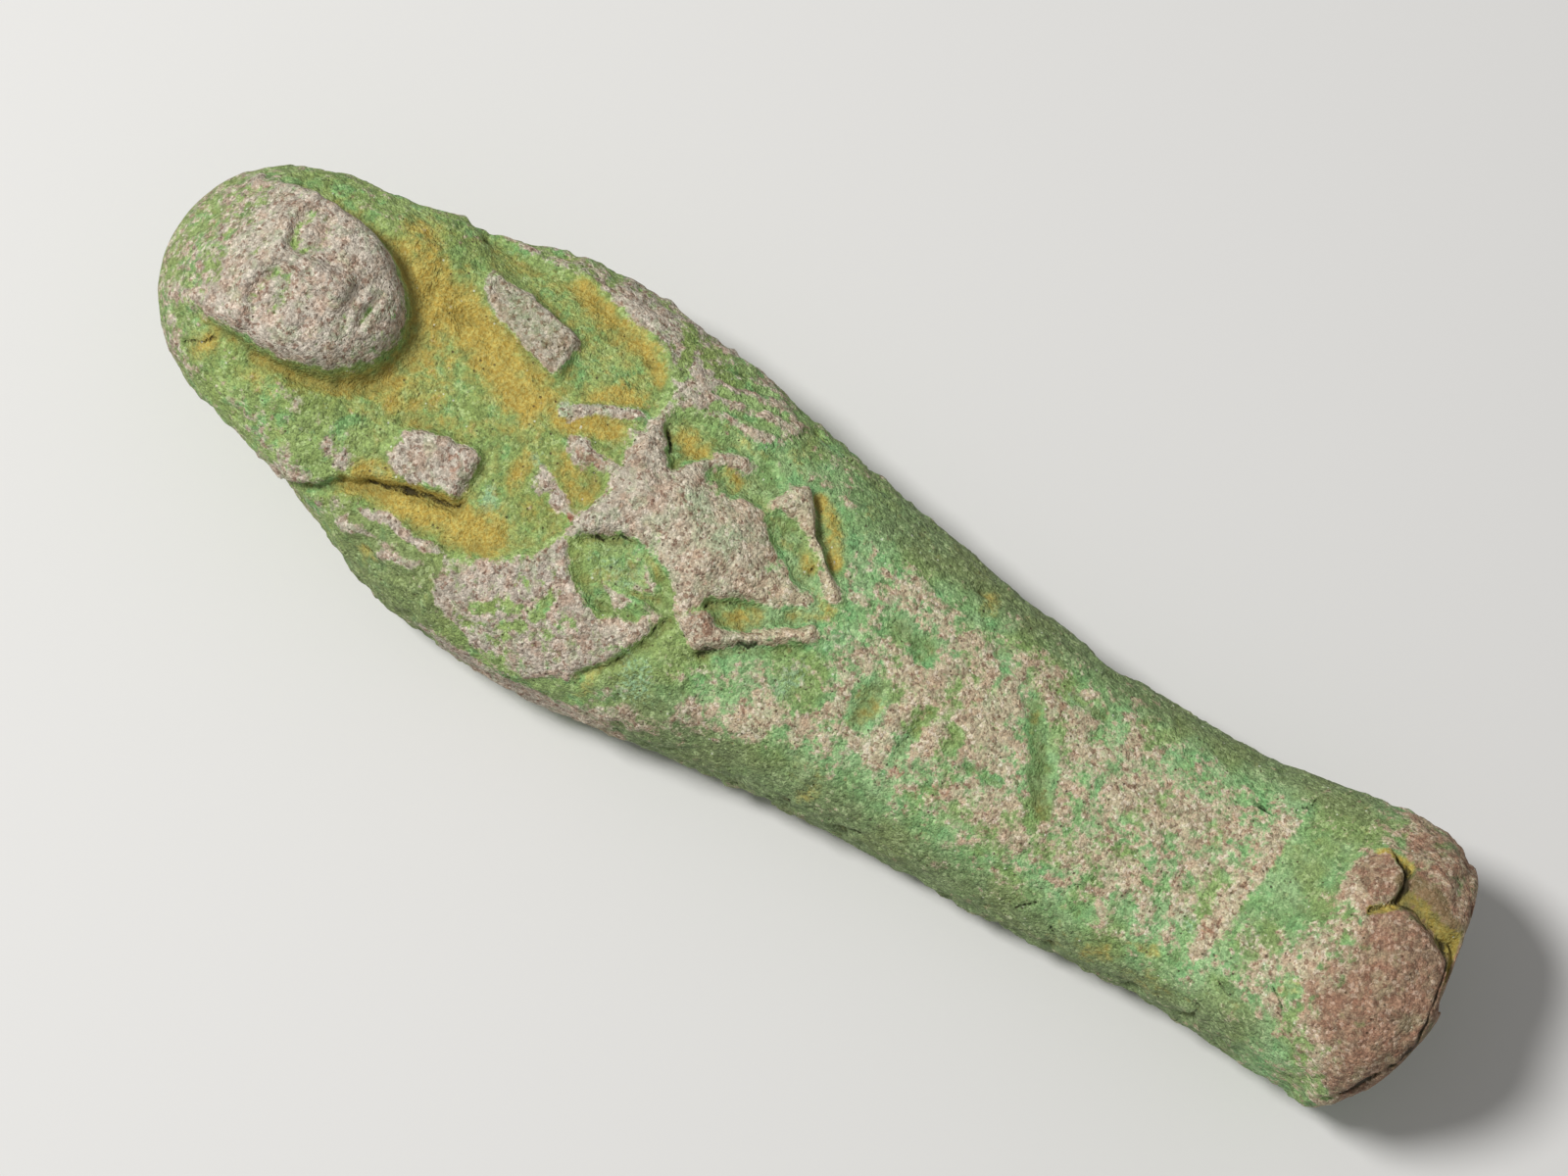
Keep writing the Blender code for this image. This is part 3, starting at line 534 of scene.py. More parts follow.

# %% [markdown]
# ## Cracks and a weathered surface
# Burial left deep cracks, hairlines, pits and a sandy unevenness. Cracks are lines whose distance we keep for
# the colour as well, where a dark line is painted along them as their shade; a few follow undercut edges of
# the carving. The unevenness is layered smooth noise: big soft lumps, then smaller ones, as in real clay. A
# random lattice with soft steps between its points gives the same noise on each run.

# %% Cracks
# The first two follow the outer edge of the left tress and the left hind leg, undercut edges where the dark
# line painted later is their shade.
CRACKS_AND_SHADE_LINES = [
    [(-10.3, 23.4), (-9.4, 26), (-8.9, 28.4), (-8.4, 30.2)],
    [(-8, 51.8), (-7.2, 52.9), (-5.9, 53.9), (-5, 55.2)], [(-16.8, 68.2), (-15.4, 68.6), (-14.6, 69.8)],
    [(-16.4, 98.8), (-15.4, 99.6), (-13.4, 99.2), (-11.6, 99)],
    [(1.2, 105.6), (1.9, 106.4), (3, 107.2), (4.4, 107.2), (5.6, 106.6), (6.3, 105.2)],
    [(-14, 111.8), (-12.4, 112.2), (-10.6, 112.6)],
    [(-3.6, 113.7), (-2.6, 113.9), (0.2, 112.9), (2.5, 111.6)],
]
# Several follow undercut edges of the left wing, the hind legs and the hollows beside the beetle, where the
# dark line painted later is their shade.
HAIRLINES_AND_SHADE_LINES = [
    [(-10.6, 112.6), (-9.4, 112.8), (-6.2, 113.3), (-3.6, 113.7)],
    [(-12.4, 46.8), (-10.2, 47.4), (-8.8, 47.9), (-7.4, 48.3)],
    [(7, 53.4), (5.9, 54), (5, 54.6), (4.2, 55.6), (3.2, 56.9)], [(-15, 17.6), (-12.8, 19.6)],
    [(-9.3, 5.8), (-8.2, 7), (-7.4, 7.9)], [(-15.3, 25.4), (-14.9, 26.6)],
    [(-14.6, 44.9), (-13.2, 46.2), (-12.4, 46.8)], [(-4.9, 50.4), (-3.9, 50.8), (-3.1, 52), (-2.1, 53.9)],
    [(1, 55.5), (1.7, 55.9), (2.6, 55.9)], [(8.2, 51.6), (9.3, 51.5)],
    [(9, 50.3), (9.6, 50.5), (10, 51), (10.6, 50.6)], [(8.8, 42.4), (9.3, 43)],
    [(11, 49), (12.4, 49.6), (13.4, 49.5)], [(-5, 39.8), (-4.1, 41.3), (-3.3, 42.9)],
    [(4, 41.9), (5.2, 41.2), (6.2, 40.7)], [(-18.4, 63.8), (-16.4, 63.9), (-14.4, 63.5), (-12, 64.8)],
    [(-11.8, 83.2), (-11, 83.7), (-10.4, 84.2)], [(-16, 87.2), (-13.6, 87.4), (-12.4, 86.8), (-11.6, 86.2)],
    [(-7.6, 85.8), (-6.5, 87), (-5.2, 86.8)], [(-16, 94.2), (-15.2, 93.9)], [(5.5, 94.8), (5.2, 96.4)],
    [(6.4, 97.8), (7.2, 98.4), (8.2, 98.7)], [(-9, 99.2), (-9.9, 100.7)],
    [(2.9, 107.4), (2.9, 108.5), (2.5, 110.2), (2.8, 112.4)], [(-7.2, 102.4), (-8.6, 104)],
]
print("deep cracks:", len(CRACKS_AND_SHADE_LINES), "and hairlines:", len(HAIRLINES_AND_SHADE_LINES))

# %% Smooth noise
LATTICE = 48


def lumps(points, size, seed, layers=1):
    total = np.zeros(points.shape[:-1])
    for layer in range(layers):
        lattice = np.random.default_rng(seed + layer).uniform(-1, 1, (LATTICE,) * 3)
        place = points / (size / 2 ** layer)
        low = np.floor(place).astype(int)
        part = place - low
        part = part * part * (3 - 2 * part)
        sample = np.zeros(points.shape[:-1])
        for corner in range(8):
            step = np.array([corner & 1, corner >> 1 & 1, corner >> 2 & 1])
            weight = np.prod(np.where(step, part, 1 - part), axis=-1)
            x, y, z = np.moveaxis((low + step) % LATTICE, -1, 0)
            sample += weight * lattice[x, y, z]
        total += sample / 2 ** layer
    return total


broad_lumps = lumps(skin, 7, 21)
print("broad lumps from", round(broad_lumps.min(), 2), "to", round(broad_lumps.max(), 2))

# %% Weather the surface
CRACK_DEPTH = 0.34
CRACK_REACH = 0.4
NO_CRACK = 9
SKIN_LOSS = 0.04
worn_u = U + 0.2 * lumps(skin, 2.4, 5) + 0.14 * lumps(skin, 0.9, 6)
worn_v = V + 0.2 * lumps(skin, 2.4, 7) + 0.14 * lumps(skin, 0.9, 8)
carving = wig(worn_u, worn_v) + face(U, V) + chest(worn_u, worn_v) + beetle(worn_u, worn_v)
carving = carving + strokes(worn_u, worn_v) + feet(worn_u, worn_v) + knocks(worn_u, worn_v)
carving += back_of_wig(SHARE, V)

wander = 0.22 * lumps(skin, 0.9, 11)
drift = 0.22 * lumps(skin, 0.9, 13)
crack_distance = np.full(U.shape, NO_CRACK)
for crack in CRACKS_AND_SHADE_LINES:
    crack_distance = np.minimum(crack_distance, from_line(U + wander, V + drift, crack) - 0.12)
for crack in HAIRLINES_AND_SHADE_LINES:
    crack_distance = np.minimum(crack_distance, from_line(U + wander, V + drift, crack) + 0.01)
crack_distance = np.maximum(crack_distance, 0) + 0.12 * (1 + lumps(skin, 1.3, 15))

ends = between(V, 0, 3) * fade(V, HEIGHT - 0.8, HEIGHT)
weather = 0.1 * broad_lumps + 0.12 * lumps(skin, 2.2, 31)
weather = weather + 0.12 * lumps(skin, 1.1, 41) + 0.13 * lumps(skin, 0.55, 43)
sides = between(np.abs(U), 12, 17)
weather += sides * (0.16 * lumps(skin, 1.6, 45) + 0.16 * lumps(skin, 0.8, 47))
pits = -0.2 * between(lumps(skin, 1, 51), 0.42, 0.8)
pits -= 0.14 * between(lumps(skin, 0.7, 53), 0.5, 0.85)
cut = -CRACK_DEPTH * (1 - smooth(crack_distance / CRACK_REACH))
height = (carving + cut) * ends + (weather + pits) * (0.3 + 0.7 * ends) - SKIN_LOSS
print("carving from", round(carving.min(), 2), "to", round(carving.max(), 2), "mm")

# %% [markdown]
# ## From skin to mesh
# Each point moves out along its own normal by the carved height, then rows are joined into a closed net of
# four-sided faces with a fan at crown and sole. The result is held inside the solid's box and above the
# floor, so the shown figure is never larger than the part it stands for.

# %% Build the figurine
END_INSET = 0.01
points = skin + outward * height[:, :, None]
points[:, :, 0] -= (points[:, :, 0].min() + points[:, :, 0].max()) / 2
points[:, :, 2] = np.maximum(points[:, :, 2], 0)
low, high = (np.array(corner) / MM for corner in cad_box)
points = np.clip(points, low, high)


def net_faces(row_count, column_count):
    first = np.arange(row_count - 1)[:, None] * column_count + np.arange(column_count)[None, :]
    turn = np.roll(np.arange(column_count), -1)
    after = np.arange(row_count - 1)[:, None] * column_count + turn[None, :]
    return np.stack([first, after, after + column_count, first + column_count], axis=-1).reshape(-1, 4)


crown = points[0].mean(axis=0)
crown[1] = high[1] - END_INSET
sole = points[-1].mean(axis=0)
sole[1] = low[1] + END_INSET
vertices = np.concatenate([points.reshape(-1, 3), [crown, sole]])
faces = [tuple(int(k) for k in quad[::-1]) for quad in net_faces(ROWS, COLUMNS)]
last_row = (ROWS - 1) * COLUMNS
for k in range(COLUMNS):
    after = (k + 1) % COLUMNS
    faces.append((ROWS * COLUMNS, k, after))
    faces.append((ROWS * COLUMNS + 1, last_row + after, last_row + k))
figurine_mesh = bpy.data.meshes.new("figurine")
figurine_mesh.from_pydata([tuple(p * MM) for p in vertices], [], faces)
figurine_mesh.shade_smooth()
figurine = bpy.data.objects.new("figurine", figurine_mesh)
bpy.context.scene.collection.objects.link(figurine)
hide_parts("ushabti_figurine")
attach(figurine, "root")
print("triangles:", sum(len(face) - 2 for face in faces))

# %% [markdown]
# ## Where the glaze is worn, thick or stained
# On the real piece the high places are bare sandy body, the glaze stays green in the low ones, and iron from
# the soil stained the hollows ochre. Height less its own blurred copy tells high from low, which a modeller
# might also get from a cavity or dirt bake. A few broad patches then move it towards what this piece shows.

# %% High and low places
def blurred(field, reach_rows, reach_columns):
    for axis, reach in ((0, reach_rows), (1, reach_columns)):
        total = np.zeros(field.shape)
        weights = np.exp(-0.5 * (np.arange(-2 * reach, 2 * reach + 1) / reach) ** 2)
        padded = np.pad(field, [(2 * reach, 2 * reach), (0, 0)], mode="edge") if axis == 0 else field
        for k, weight in enumerate(weights):
            if axis == 0:
                total += weight * padded[k:k + field.shape[0]]
            else:
                total += weight * np.roll(field, 2 * reach - k, axis=1)
        field = total / weights.sum()
    return field


broad = height - blurred(height, 14, 14)
tight = height - blurred(height, 4, 4)
print("highest above its surroundings:", round(broad.max(), 2), "mm")

# %% Ragged patches and areas
stray_u = U + 0.7 * lumps(skin, 2.6, 61, 2)
stray_v = V + 0.7 * lumps(skin, 2.6, 71, 2)
fray = 0.35 * lumps(skin, 0.8, 75)


def patches(entries):
    total = np.zeros(U.shape)
    for across, down, half_u, half_v, amount in entries:
        reach = np.hypot((stray_u - across) / half_u, (stray_v - down) / half_v)
        total += amount * fade(reach, 0.35, 1.4)
    return total


def within(corners, softness=1):
    return edge(area(stray_u + fray, stray_v - fray, corners), softness)


print("edges stray by up to", round(np.abs(stray_u - U).max(), 1), "mm")

# %% [markdown]
# ### Patches that this piece shows
# Noise alone would wear any figure alike, so patches are listed one by one. A patch is an oval with a ragged
# edge: its centre as u and v, half width, half height and strength. A line has its points, half width and
# strength.
# A bare patch or streak with a strength below zero keeps more glaze.

# %% Bare patches
BARE = [
    (0, 3, 12, 4.6, 0.29), (0, 13.5, 7.5, 8.5, 0.46), (0.4, 46, 3, 6, 0.14), (-12, 4.5, 4.5, 3, 0.16),
    (-9.4, 20.8, 1, 1.9, 0.5), (-22.6, 42, 3.6, 10, 0.6), (-18.6, 47.6, 4.4, 3, 0.4),
    (-18.6, 27, 3, 4, -0.3), (-15.5, 62, 3, 4, -0.2), (15, 32, 2.2, 5, 0.2), (1.9, 108.7, 0.9, 1.1, -0.35),
    (3.2, 34, 1, 1.4, 0.2), (-15.5, 50.2, 2.4, 2.6, 0.2), (-12.5, 54.5, 2.4, 2.4, 0.26),
    (-9.6, 58, 2.8, 2.2, 0.35), (-9, 62.6, 1.2, 2.6, 0.4), (-7.6, 66.4, 0.9, 2.4, 0.4),
    (-5.6, 62.6, 1.6, 0.9, 0.3), (-3.4, 62.4, 1.2, 0.9, 0.4), (-0.6, 63.4, 1.5, 1.7, 0.4),
    (-0.5, 66.2, 1.1, 1.5, 0.45), (-3.6, 67.7, 3, 0.9, 0.4), (4.7, 63, 1, 1.8, 0.3),
    (4.9, 66.2, 1.1, 1.6, 0.25), (1.4, 69.2, 2.6, 1.3, 0.35), (2.4, 71.3, 2.2, 1.2, 0.35),
    (-4.4, 70.9, 2, 0.7, 0.25), (0.6, 73.9, 4, 1.5, 0.45), (3, 73.2, 2, 1.2, 0.2), (-1, 76, 2.2, 1.5, 0.4),
    (4.3, 78.3, 1.2, 2.4, 0.35), (3.2, 81, 2, 1.6, 0.35), (0.4, 81.9, 3.6, 0.8, 0.35),
    (-6.2, 73.8, 1.1, 0.9, 0.35), (-4, 78.3, 1.2, 0.6, 0.4), (-11.9, 77, 1.2, 0.7, 0.4),
    (-12.1, 80.4, 1, 0.6, 0.35), (-6, 80.3, 0.9, 0.6, 0.3), (-5.2, 84.6, 3, 1.5, 0.3),
    (-4.6, 88.8, 2.4, 2, 0.3), (2, 85.6, 2.8, 1.5, 0.3), (1, 90.6, 2.2, 5, 0.28), (-2, 94, 3.6, 1.6, 0.25),
    (-3.6, 99.3, 1.3, 0.7, 0.3), (-6.6, 102, 2.2, 1.3, 0.3), (2.4, 93, 1.6, 1.6, 0.2),
    (0, 61, 9, 1.2, -0.25), (2.2, 65.5, 1.5, 2.2, -0.4), (-4.5, 65, 2.4, 1.7, -0.55),
    (-4, 69.1, 2.6, 0.8, -0.3), (-3.8, 72.3, 3, 0.8, -0.25), (-1.4, 79.2, 4.4, 1.6, -0.35),
    (0, 83.6, 5, 0.7, -0.2), (-10.6, 49.6, 3.2, 2.2, -0.25), (0.6, 100.4, 4, 2, -0.25),
    (-6.6, 101.4, 2.6, 2.6, 0.2), (-2, 104, 4, 0.8, 0.15),
]
print("bare and glazed patches:", len(BARE))

# %% Ochre stains
OCHRE = [
    (0.5, 29.5, 2.2, 4, 0.35), (-3.5, 33, 1.6, 1, 0.5), (-1.2, 35.5, 0.9, 1.4, 0.5),
    (-2.6, 37.8, 0.6, 1.6, 0.5), (-3, 21.6, 1.6, 1.2, 0.3), (8.6, 46.5, 0.5, 2.5, 0.7),
    (-4.2, 46, 0.7, 0.8, 0.6), (2.8, 55.4, 1.4, 0.9, 0.6), (9.5, 50.5, 1.8, 1, 0.6),
    (-15.4, 46, 1.9, 1, 0.6), (-4.6, 65, 2.4, 1.6, 0.55), (-4, 80.5, 1.8, 0.9, 0.45),
    (2.2, 76.6, 1.6, 0.9, 0.55), (8.4, 69.2, 2.2, 0.8, 0.55), (-12.5, 88.5, 2.4, 2.4, 0.5),
    (-8.8, 93.5, 0.8, 2.2, 0.6), (5.4, 89, 1, 2.8, 0.4), (1.5, 93.3, 1.4, 1, 0.55),
    (3.8, 110.2, 1, 3.4, 0.65), (-12.6, 95, 2.6, 2.6, 0.45), (-11.6, 91, 2, 1.2, 0.4),
    (6.4, 105, 0.5, 1.2, 0.8), (-8.4, 6.8, 2, 1.3, 0.8), (-8.4, 12.6, 1.3, 1.8, 0.4),
    (-13.2, 64.6, 2.2, 0.8, 0.6), (-7, 103.9, 1, 0.8, 0.6), (1.1, 110, 1, 2.2, 0.5),
    (-16, 26.2, 1.4, 1, 0.6), (-15.2, 31.8, 1, 0.8, 0.6), (9, 57.4, 2.4, 1, 0.35),
]
OCHRE_LINES = [
    ([(8.6, 16.5), (6.7, 17.6), (5.7, 19.6), (5.2, 22.4), (4.2, 25.5), (3.1, 28.5), (2.6, 30.6)], 1.6, 0.9),
    ([(-10.2, 23), (-9.7, 26.7), (-9.3, 30.9), (-9.2, 33.4)], 1.2, 0.95),
    ([(12.8, 29), (12.2, 33.9), (11.1, 36.6), (9.8, 38)], 0.8, 0.75),
    ([(4.8, 34.2), (6.2, 36.2), (6.9, 37.4)], 0.6, 0.8),
    ([(1.8, 33.6), (3.2, 35.4), (3.9, 37.4)], 0.6, 0.8), ([(8, 53.2), (6.4, 55.6), (4.2, 56.9)], 0.6, 0.9),
    ([(6.7, 42), (5.7, 43.6)], 0.9, 0.75), ([(5.9, 45.9), (4.8, 47.4)], 0.5, 0.7),
    ([(-3.3, 54), (-4.3, 52.8)], 0.6, 0.6), ([(-1.1, 56.6), (0.4, 58.4)], 0.7, 0.6),
    ([(6.1, 104.8), (5.9, 106.6)], 0.5, 1.3), ([(1.2, 105.8), (2.2, 107)], 0.5, 1),
    ([(3.1, 112.4), (1.6, 113.4)], 0.8, 1),
]
print("ochre patches and lines:", len(OCHRE) + len(OCHRE_LINES))

# %% Mint glaze and rust
MINT = [
    (1.5, 45.9, 1.8, 2.2, 0.9), (0.2, 49.2, 1.4, 1.4, 0.7), (-6.2, 43.2, 1.6, 2.4, 0.5),
    (7.2, 27.5, 1.4, 3.2, 0.5), (-2.6, 45, 0.8, 1.6, 0.4), (-6.9, 32.1, 1, 1, 0.8),
    (5.6, 24.5, 0.7, 2.4, 0.7), (-2.3, 33.4, 0.9, 0.8, 0.7), (2.9, 33.2, 0.9, 0.8, 0.8),
    (4.4, 35.6, 0.5, 1.8, 0.7), (-12.4, 48.6, 2.6, 1.6, 0.5), (-9.6, 24, 0.6, 1.6, 0.6),
    (-4, 69.1, 2.2, 0.7, 0.4), (-5.7, 94.8, 0.9, 1, 0.6), (-6.2, 58.6, 2.6, 1, 0.5),
    (-1.4, 60.6, 3, 1, 0.4), (8.6, 24.6, 0.8, 2, 0.4), (-4.4, 99.4, 2.4, 0.9, 0.3), (4, 59.6, 2.4, 1, 0.4),
    (-4, 76, 2, 1, 0.3), (5.4, 79, 0.8, 1.6, 0.4),
]
RUST = [
    (0.8, 36.6, 1, 1.6, 1), (-2, 41, 1.8, 1.5, 0.6), (-8.2, 36.9, 1.6, 0.7, 0.6),
    (-4.6, 37.8, 0.45, 0.55, 2), (-5.8, 51, 1.8, 1.2, 0.6), (-2, 50, 2, 1, 0.4), (-7, 69.6, 1.6, 1, 0.7),
    (-6.7, 73.2, 1.6, 0.8, 0.7), (-4.3, 96.6, 2, 0.8, 0.9), (-1, 97, 1.6, 0.7, 0.8),
    (1.5, 93.3, 1.3, 0.9, 0.4), (4, 78.8, 0.8, 1.4, 0.5), (-5, 108.6, 3, 1.6, 0.5), (8, 109, 1.6, 1.6, 0.4),
    (4, 24, 0.9, 1.4, 0.3), (-6, 28.4, 1, 0.8, 0.5), (1.5, 72.8, 1, 1.2, 0.4), (-11.4, 80.2, 0.6, 0.4, 0.8),
]
print("mint patches:", len(MINT), "and rust spots:", len(RUST))

# %% Streaks of bare body and of kept glaze
STREAKS = [
    ([(-12.2, 24.6), (-12.2, 28.2), (-12, 31.4)], 0.4, 0.5), ([(-14.1, 23.4), (-13.8, 26.4)], 0.35, 0.4),
    ([(-14.6, 26.8), (-13.9, 29.9)], 0.42, 0.42), ([(-16.2, 28.6), (-15.6, 30.2)], 0.5, 0.4),
    ([(-14.7, 31.6), (-14.3, 34.2)], 0.6, 0.4), ([(-15.4, 24.4), (-15.2, 27.6), (-15, 30)], 0.5, -0.3),
    ([(-16.6, 28), (-15.6, 32.4)], 0.4, -0.35), ([(-7.2, 96.9), (-4, 96.9), (-0.9, 97.2)], 0.55, 0.4),
    ([(0.2, 97.8), (3, 97.7), (5.6, 98.1)], 0.5, 0.4),
    ([(-17, 31), (-17.8, 36), (-18.6, 41), (-17.6, 45.5)], 0.9, -0.5),
    ([(-13.1, 24.4), (-13.1, 31)], 0.35, -0.35), ([(-13.6, 31.6), (-11.6, 33.4)], 0.5, -0.35),
    ([(8.3, 41.6), (8.4, 46), (9, 50)], 0.5, -0.5), ([(9.4, 42.8), (10, 45.4), (10.8, 47.8)], 0.4, -0.55),
    ([(11.2, 42.4), (11.9, 45.2), (12.7, 47.6)], 0.4, -0.5),
    ([(12.6, 40.4), (13.4, 43.4), (14.4, 46.4)], 0.4, -0.5),
    ([(14, 38.4), (15.2, 41.4), (16.2, 44)], 0.5, -0.45),
    ([(10.2, 39.2), (13, 38.4), (15.6, 37.4)], 0.45, -0.5),
    ([(-7.3, 41.4), (-8.2, 42.8), (-9.5, 44.1)], 0.4, -0.6),
    ([(-6.4, 44.1), (-7.2, 45.2), (-8.1, 46.5)], 0.4, -0.6),
    ([(-4, 44.2), (-4.6, 45.6), (-5.6, 47.2)], 0.4, -0.5), ([(-14.2, 35.6), (-13.6, 36.4)], 0.45, -0.6),
    ([(-14, 38.2), (-13.5, 38.9)], 0.4, -0.6), ([(-12.2, 39.6), (-11.4, 40.3), (-10.6, 40.1)], 0.4, -0.6),
    ([(-12.9, 37.4), (-12.6, 38.3)], 0.35, -0.5), ([(-11.6, 42), (-11.2, 42.6)], 0.35, -0.4),
    ([(-7.5, 42.6), (-8, 43.6), (-8.6, 44.6)], 0.35, 0.5),
    ([(-5.6, 43.4), (-6.2, 44.8), (-6.9, 45.8)], 0.3, 0.4), ([(-7.6, 108.8), (-7, 109.2)], 0.4, -0.4),
    ([(-2.4, 108.3), (-1.6, 108.7)], 0.4, -0.3), ([(-7.2, 114.6), (-2.8, 114.6), (-0.4, 114.2)], 0.5, -0.4),
    ([(9.8, 108.2), (10.6, 109.6)], 0.4, -0.3), ([(-6, 104.6), (-4.4, 103.2), (-2.6, 102.8)], 0.7, 0.3),
    ([(-10.2, 104.4), (-8.6, 103.4)], 0.6, 0.35),
]
print("streaks:", len(STREAKS))

# %% [markdown]
# ### Adding up the wear and the painted shade
# Carving that stands proud lost its glaze first, so each form gets a soft mask, drawn from the outline that
# carved it. Masks, patches and height are added up, one field for each finish and for the painted shade on
# flanks and in hollows, and the fields are kept on the points of the mesh, where the material can read them.

# %% Masks of the carving
chest_green = within(FIELD, 1.6) * between(V, 12, 20)
pads = np.maximum(within(PADS[0], 1.4), within(PADS[1], 1.4))
insect = within(BEETLE, 1.5)
for leg in HIND_LEGS:
    insect = np.maximum(insect, within(leg))
for leg, half_width, _ in THIN_LEGS + [(BEETLE_HEAD, *BEETLE_HEAD_SIZE)]:
    away = from_line(stray_u, stray_v, leg)
    insect = np.maximum(insect, fade(away, 0.5 * half_width, 1.3 * half_width))
wings = np.maximum(within(LEFT_WING, 1.8), 0.75 * within(RIGHT_WING, 1.8))
for pocket in (LEFT_HOLLOW, RIGHT_HOLLOW):
    wings = wings * (1 - within(pocket))
# Painted shade: the flanks, the crown and a band above the toes get a darker tint for the surface turning
# away from the light; there the glaze is also kept a little more.
right_flank = between(U, 6.5, 9.5) * between(V, 50, 62)
left_flank = between(-U, 8.5, 12.5) * between(V, 58, 64)
left_hip = between(-U, 10, 13.5) * between(V, 45, 51)
left_shoulder = 0.8 * between(-U, 11.5, 14) * between(V, 21, 25) * fade(V, 32, 37)
top = 0.4 * fade(V, 5, 10) + 0.3 * between(V, 98, 100)
flank_shade_and_glaze = np.clip(right_flank + np.maximum(left_flank, left_hip) + left_shoulder + top, 0, 1)
flank_shade_and_glaze = flank_shade_and_glaze * fade(V, 102, 106)
belly = between(V, 57, 62) * fade(V, 96, 99) * fade(np.abs(U + 0.7), 5.5, 9)
print("skin points on the insect:", int((insect > 0.5).sum()))

# %% Add up the fields
proud = np.clip(0.45 * broad + 0.9 * tight, -0.45, 0.35)
iron = patches(OCHRE)
for line, half_width, strength in OCHRE_LINES:
    reach = from_line(0.4 * U + 0.6 * stray_u, 0.4 * V + 0.6 * stray_v, line) / half_width
    iron += strength * fade(reach, 0.2, 2.2)
bare = 0.29 + proud + patches(BARE) * (1 - 0.45 * belly) + 0.19 * belly + 0.08 * lumps(skin, 3, 81, 2)
bare = bare + 0.5 * pads + 0.4 * insect + 0.31 * wings
bare = bare - 0.34 * chest_green * (1 - pads) * (1 - insect) - 0.22 * flank_shade_and_glaze
bare = np.where(SHARE > 0.62, bare - 0.1, bare)
stain = 0.06 - 0.35 * broad + 0.62 * iron + 0.1 * lumps(skin, 3.4, 91, 2) + 0.22 * chest_green
mint = 0.1 + 0.8 * patches(MINT) + 0.14 * lumps(skin, 4.5, 101)
cool = between(V + 3 * lumps(skin, 6, 121), 38, 58)
# Painted shade: the low places found here get a dark olive in the material that stands in for their shade.
hollow = np.clip(-1.1 * tight - 0.25 * broad, 0, 1)
TOE_EDGE = 103.9
toe_edge = TOE_EDGE + 0.65 * np.maximum(-U - 6, 0)
toes = between(V - toe_edge + 1.6 * lumps(skin, 2.4, 111, 2), -2.8, 4.6)
toes = np.maximum(toes, 0.95 * edge(oval(stray_u, stray_v, 4, 105.2, 2.8, 1.7), 1.6))
toes = toes * (1 - 0.6 * between(SHARE, 0.55, 0.75)) * (1 - 0.25 * between(U, 4.5, 6.5))
cleft = fade(from_line(stray_u, stray_v, [(4.8, 107.3), (4, 109.6), (3.4, 112.2)]), 0.5, 1.6)
# The toe cleft is added to that painted shade, and on the face the painted shade is weaker.
hollow = np.clip(hollow * (1 - 0.6 * edge(face_inside(U, V) - 0.6, 1.2)) + cleft, 0, 1)
bare = bare + 0.62 * toes - 0.45 * np.clip(iron, 0, 1.4)
for streak, half_width, strength in STREAKS:
    reach = from_line(0.5 * (U + stray_u) + fray, 0.5 * (V + stray_v), streak) / half_width
    bare += strength * fade(reach, 0.4, 1.8)
# The painted shade also covers the end of the right tress, which turns away from the light, and the pressed
# strokes.
hollow = np.clip(hollow + 0.5 * within(PADS[1], 1.4) - 1.4 * strokes(stray_u, stray_v), 0, 1)
rust = patches(RUST) + 0.25 * lumps(skin, 2, 131)
print("share of the skin mostly bare:", round(float((bare > 0.5).mean()), 2))

# %% Keep the fields on the mesh
def keep(name, field):
    values = np.concatenate([field.reshape(-1), [field[0].mean(), field[-1].mean()]]).astype(np.float32)
    figurine_mesh.attributes.new(name, "FLOAT", "POINT").data.foreach_set("value", values)
    print(name, "from", round(float(values.min()), 2), "to", round(float(values.max()), 2))


keep("bare", np.clip(bare, 0, 1))
keep("stain", np.clip(stain, 0, 1))
keep("mint", np.clip(mint, 0, 1))
keep("cool", cool)
keep("hollow", hollow)
keep("toes", toes)
keep("flank_shade_and_glaze", flank_shade_and_glaze)
keep("rust", np.clip(rust, 0, 2))
keep("crack", np.minimum(crack_distance, 2))

# %% [markdown]
# ## The worn glaze
# One material holds it all: sandy body and green glaze are mixed by the wear field, roughened with fine noise
# so the border crumbles as real glaze does. Ochre, mint, and painted shade on the flanks, in hollows and
# along cracks come on top. Grit is a bump, since its grains are about a quarter of a millimetre and would
# need millions of faces as mesh.

# %% Small node helpers
glaze = bpy.data.materials.new("worn_glaze")
glaze.use_nodes = True
tree = glaze.node_tree
shader = tree.nodes["Principled BSDF"]


def join(value, socket):
    if isinstance(value, bpy.types.NodeSocket):
        tree.links.new(value, socket)
    else:
        socket.default_value = value


def sums(kind, a, b=0):
    node = tree.nodes.new("ShaderNodeMath")
    node.operation = kind
    join(a, node.inputs[0])
    join(b, node.inputs[1])
    return node.outputs[0]


def times(a, b):
    return sums("MULTIPLY", a, b)


def plus(a, b):
    return sums("ADD", a, b)


def opposite(value):
    return sums("SUBTRACT", 1, value)


def centred(value, gain):
    return times(sums("SUBTRACT", value, 0.5), gain)


def step(value, low, high):
    node = tree.nodes.new("ShaderNodeMapRange")
    node.interpolation_type = "SMOOTHSTEP"
    join(value, node.inputs["Value"])
    join(low, node.inputs["From Min"])
    join(high, node.inputs["From Max"])
    return node.outputs["Result"]


def blend(share, a, b, kind="MIX"):
    node = tree.nodes.new("ShaderNodeMix")
    node.data_type = "RGBA"
    node.blend_type = kind
    join(share, node.inputs["Factor"])
    join(a, node.inputs["A"])
    join(b, node.inputs["B"])
    return node.outputs["Result"]


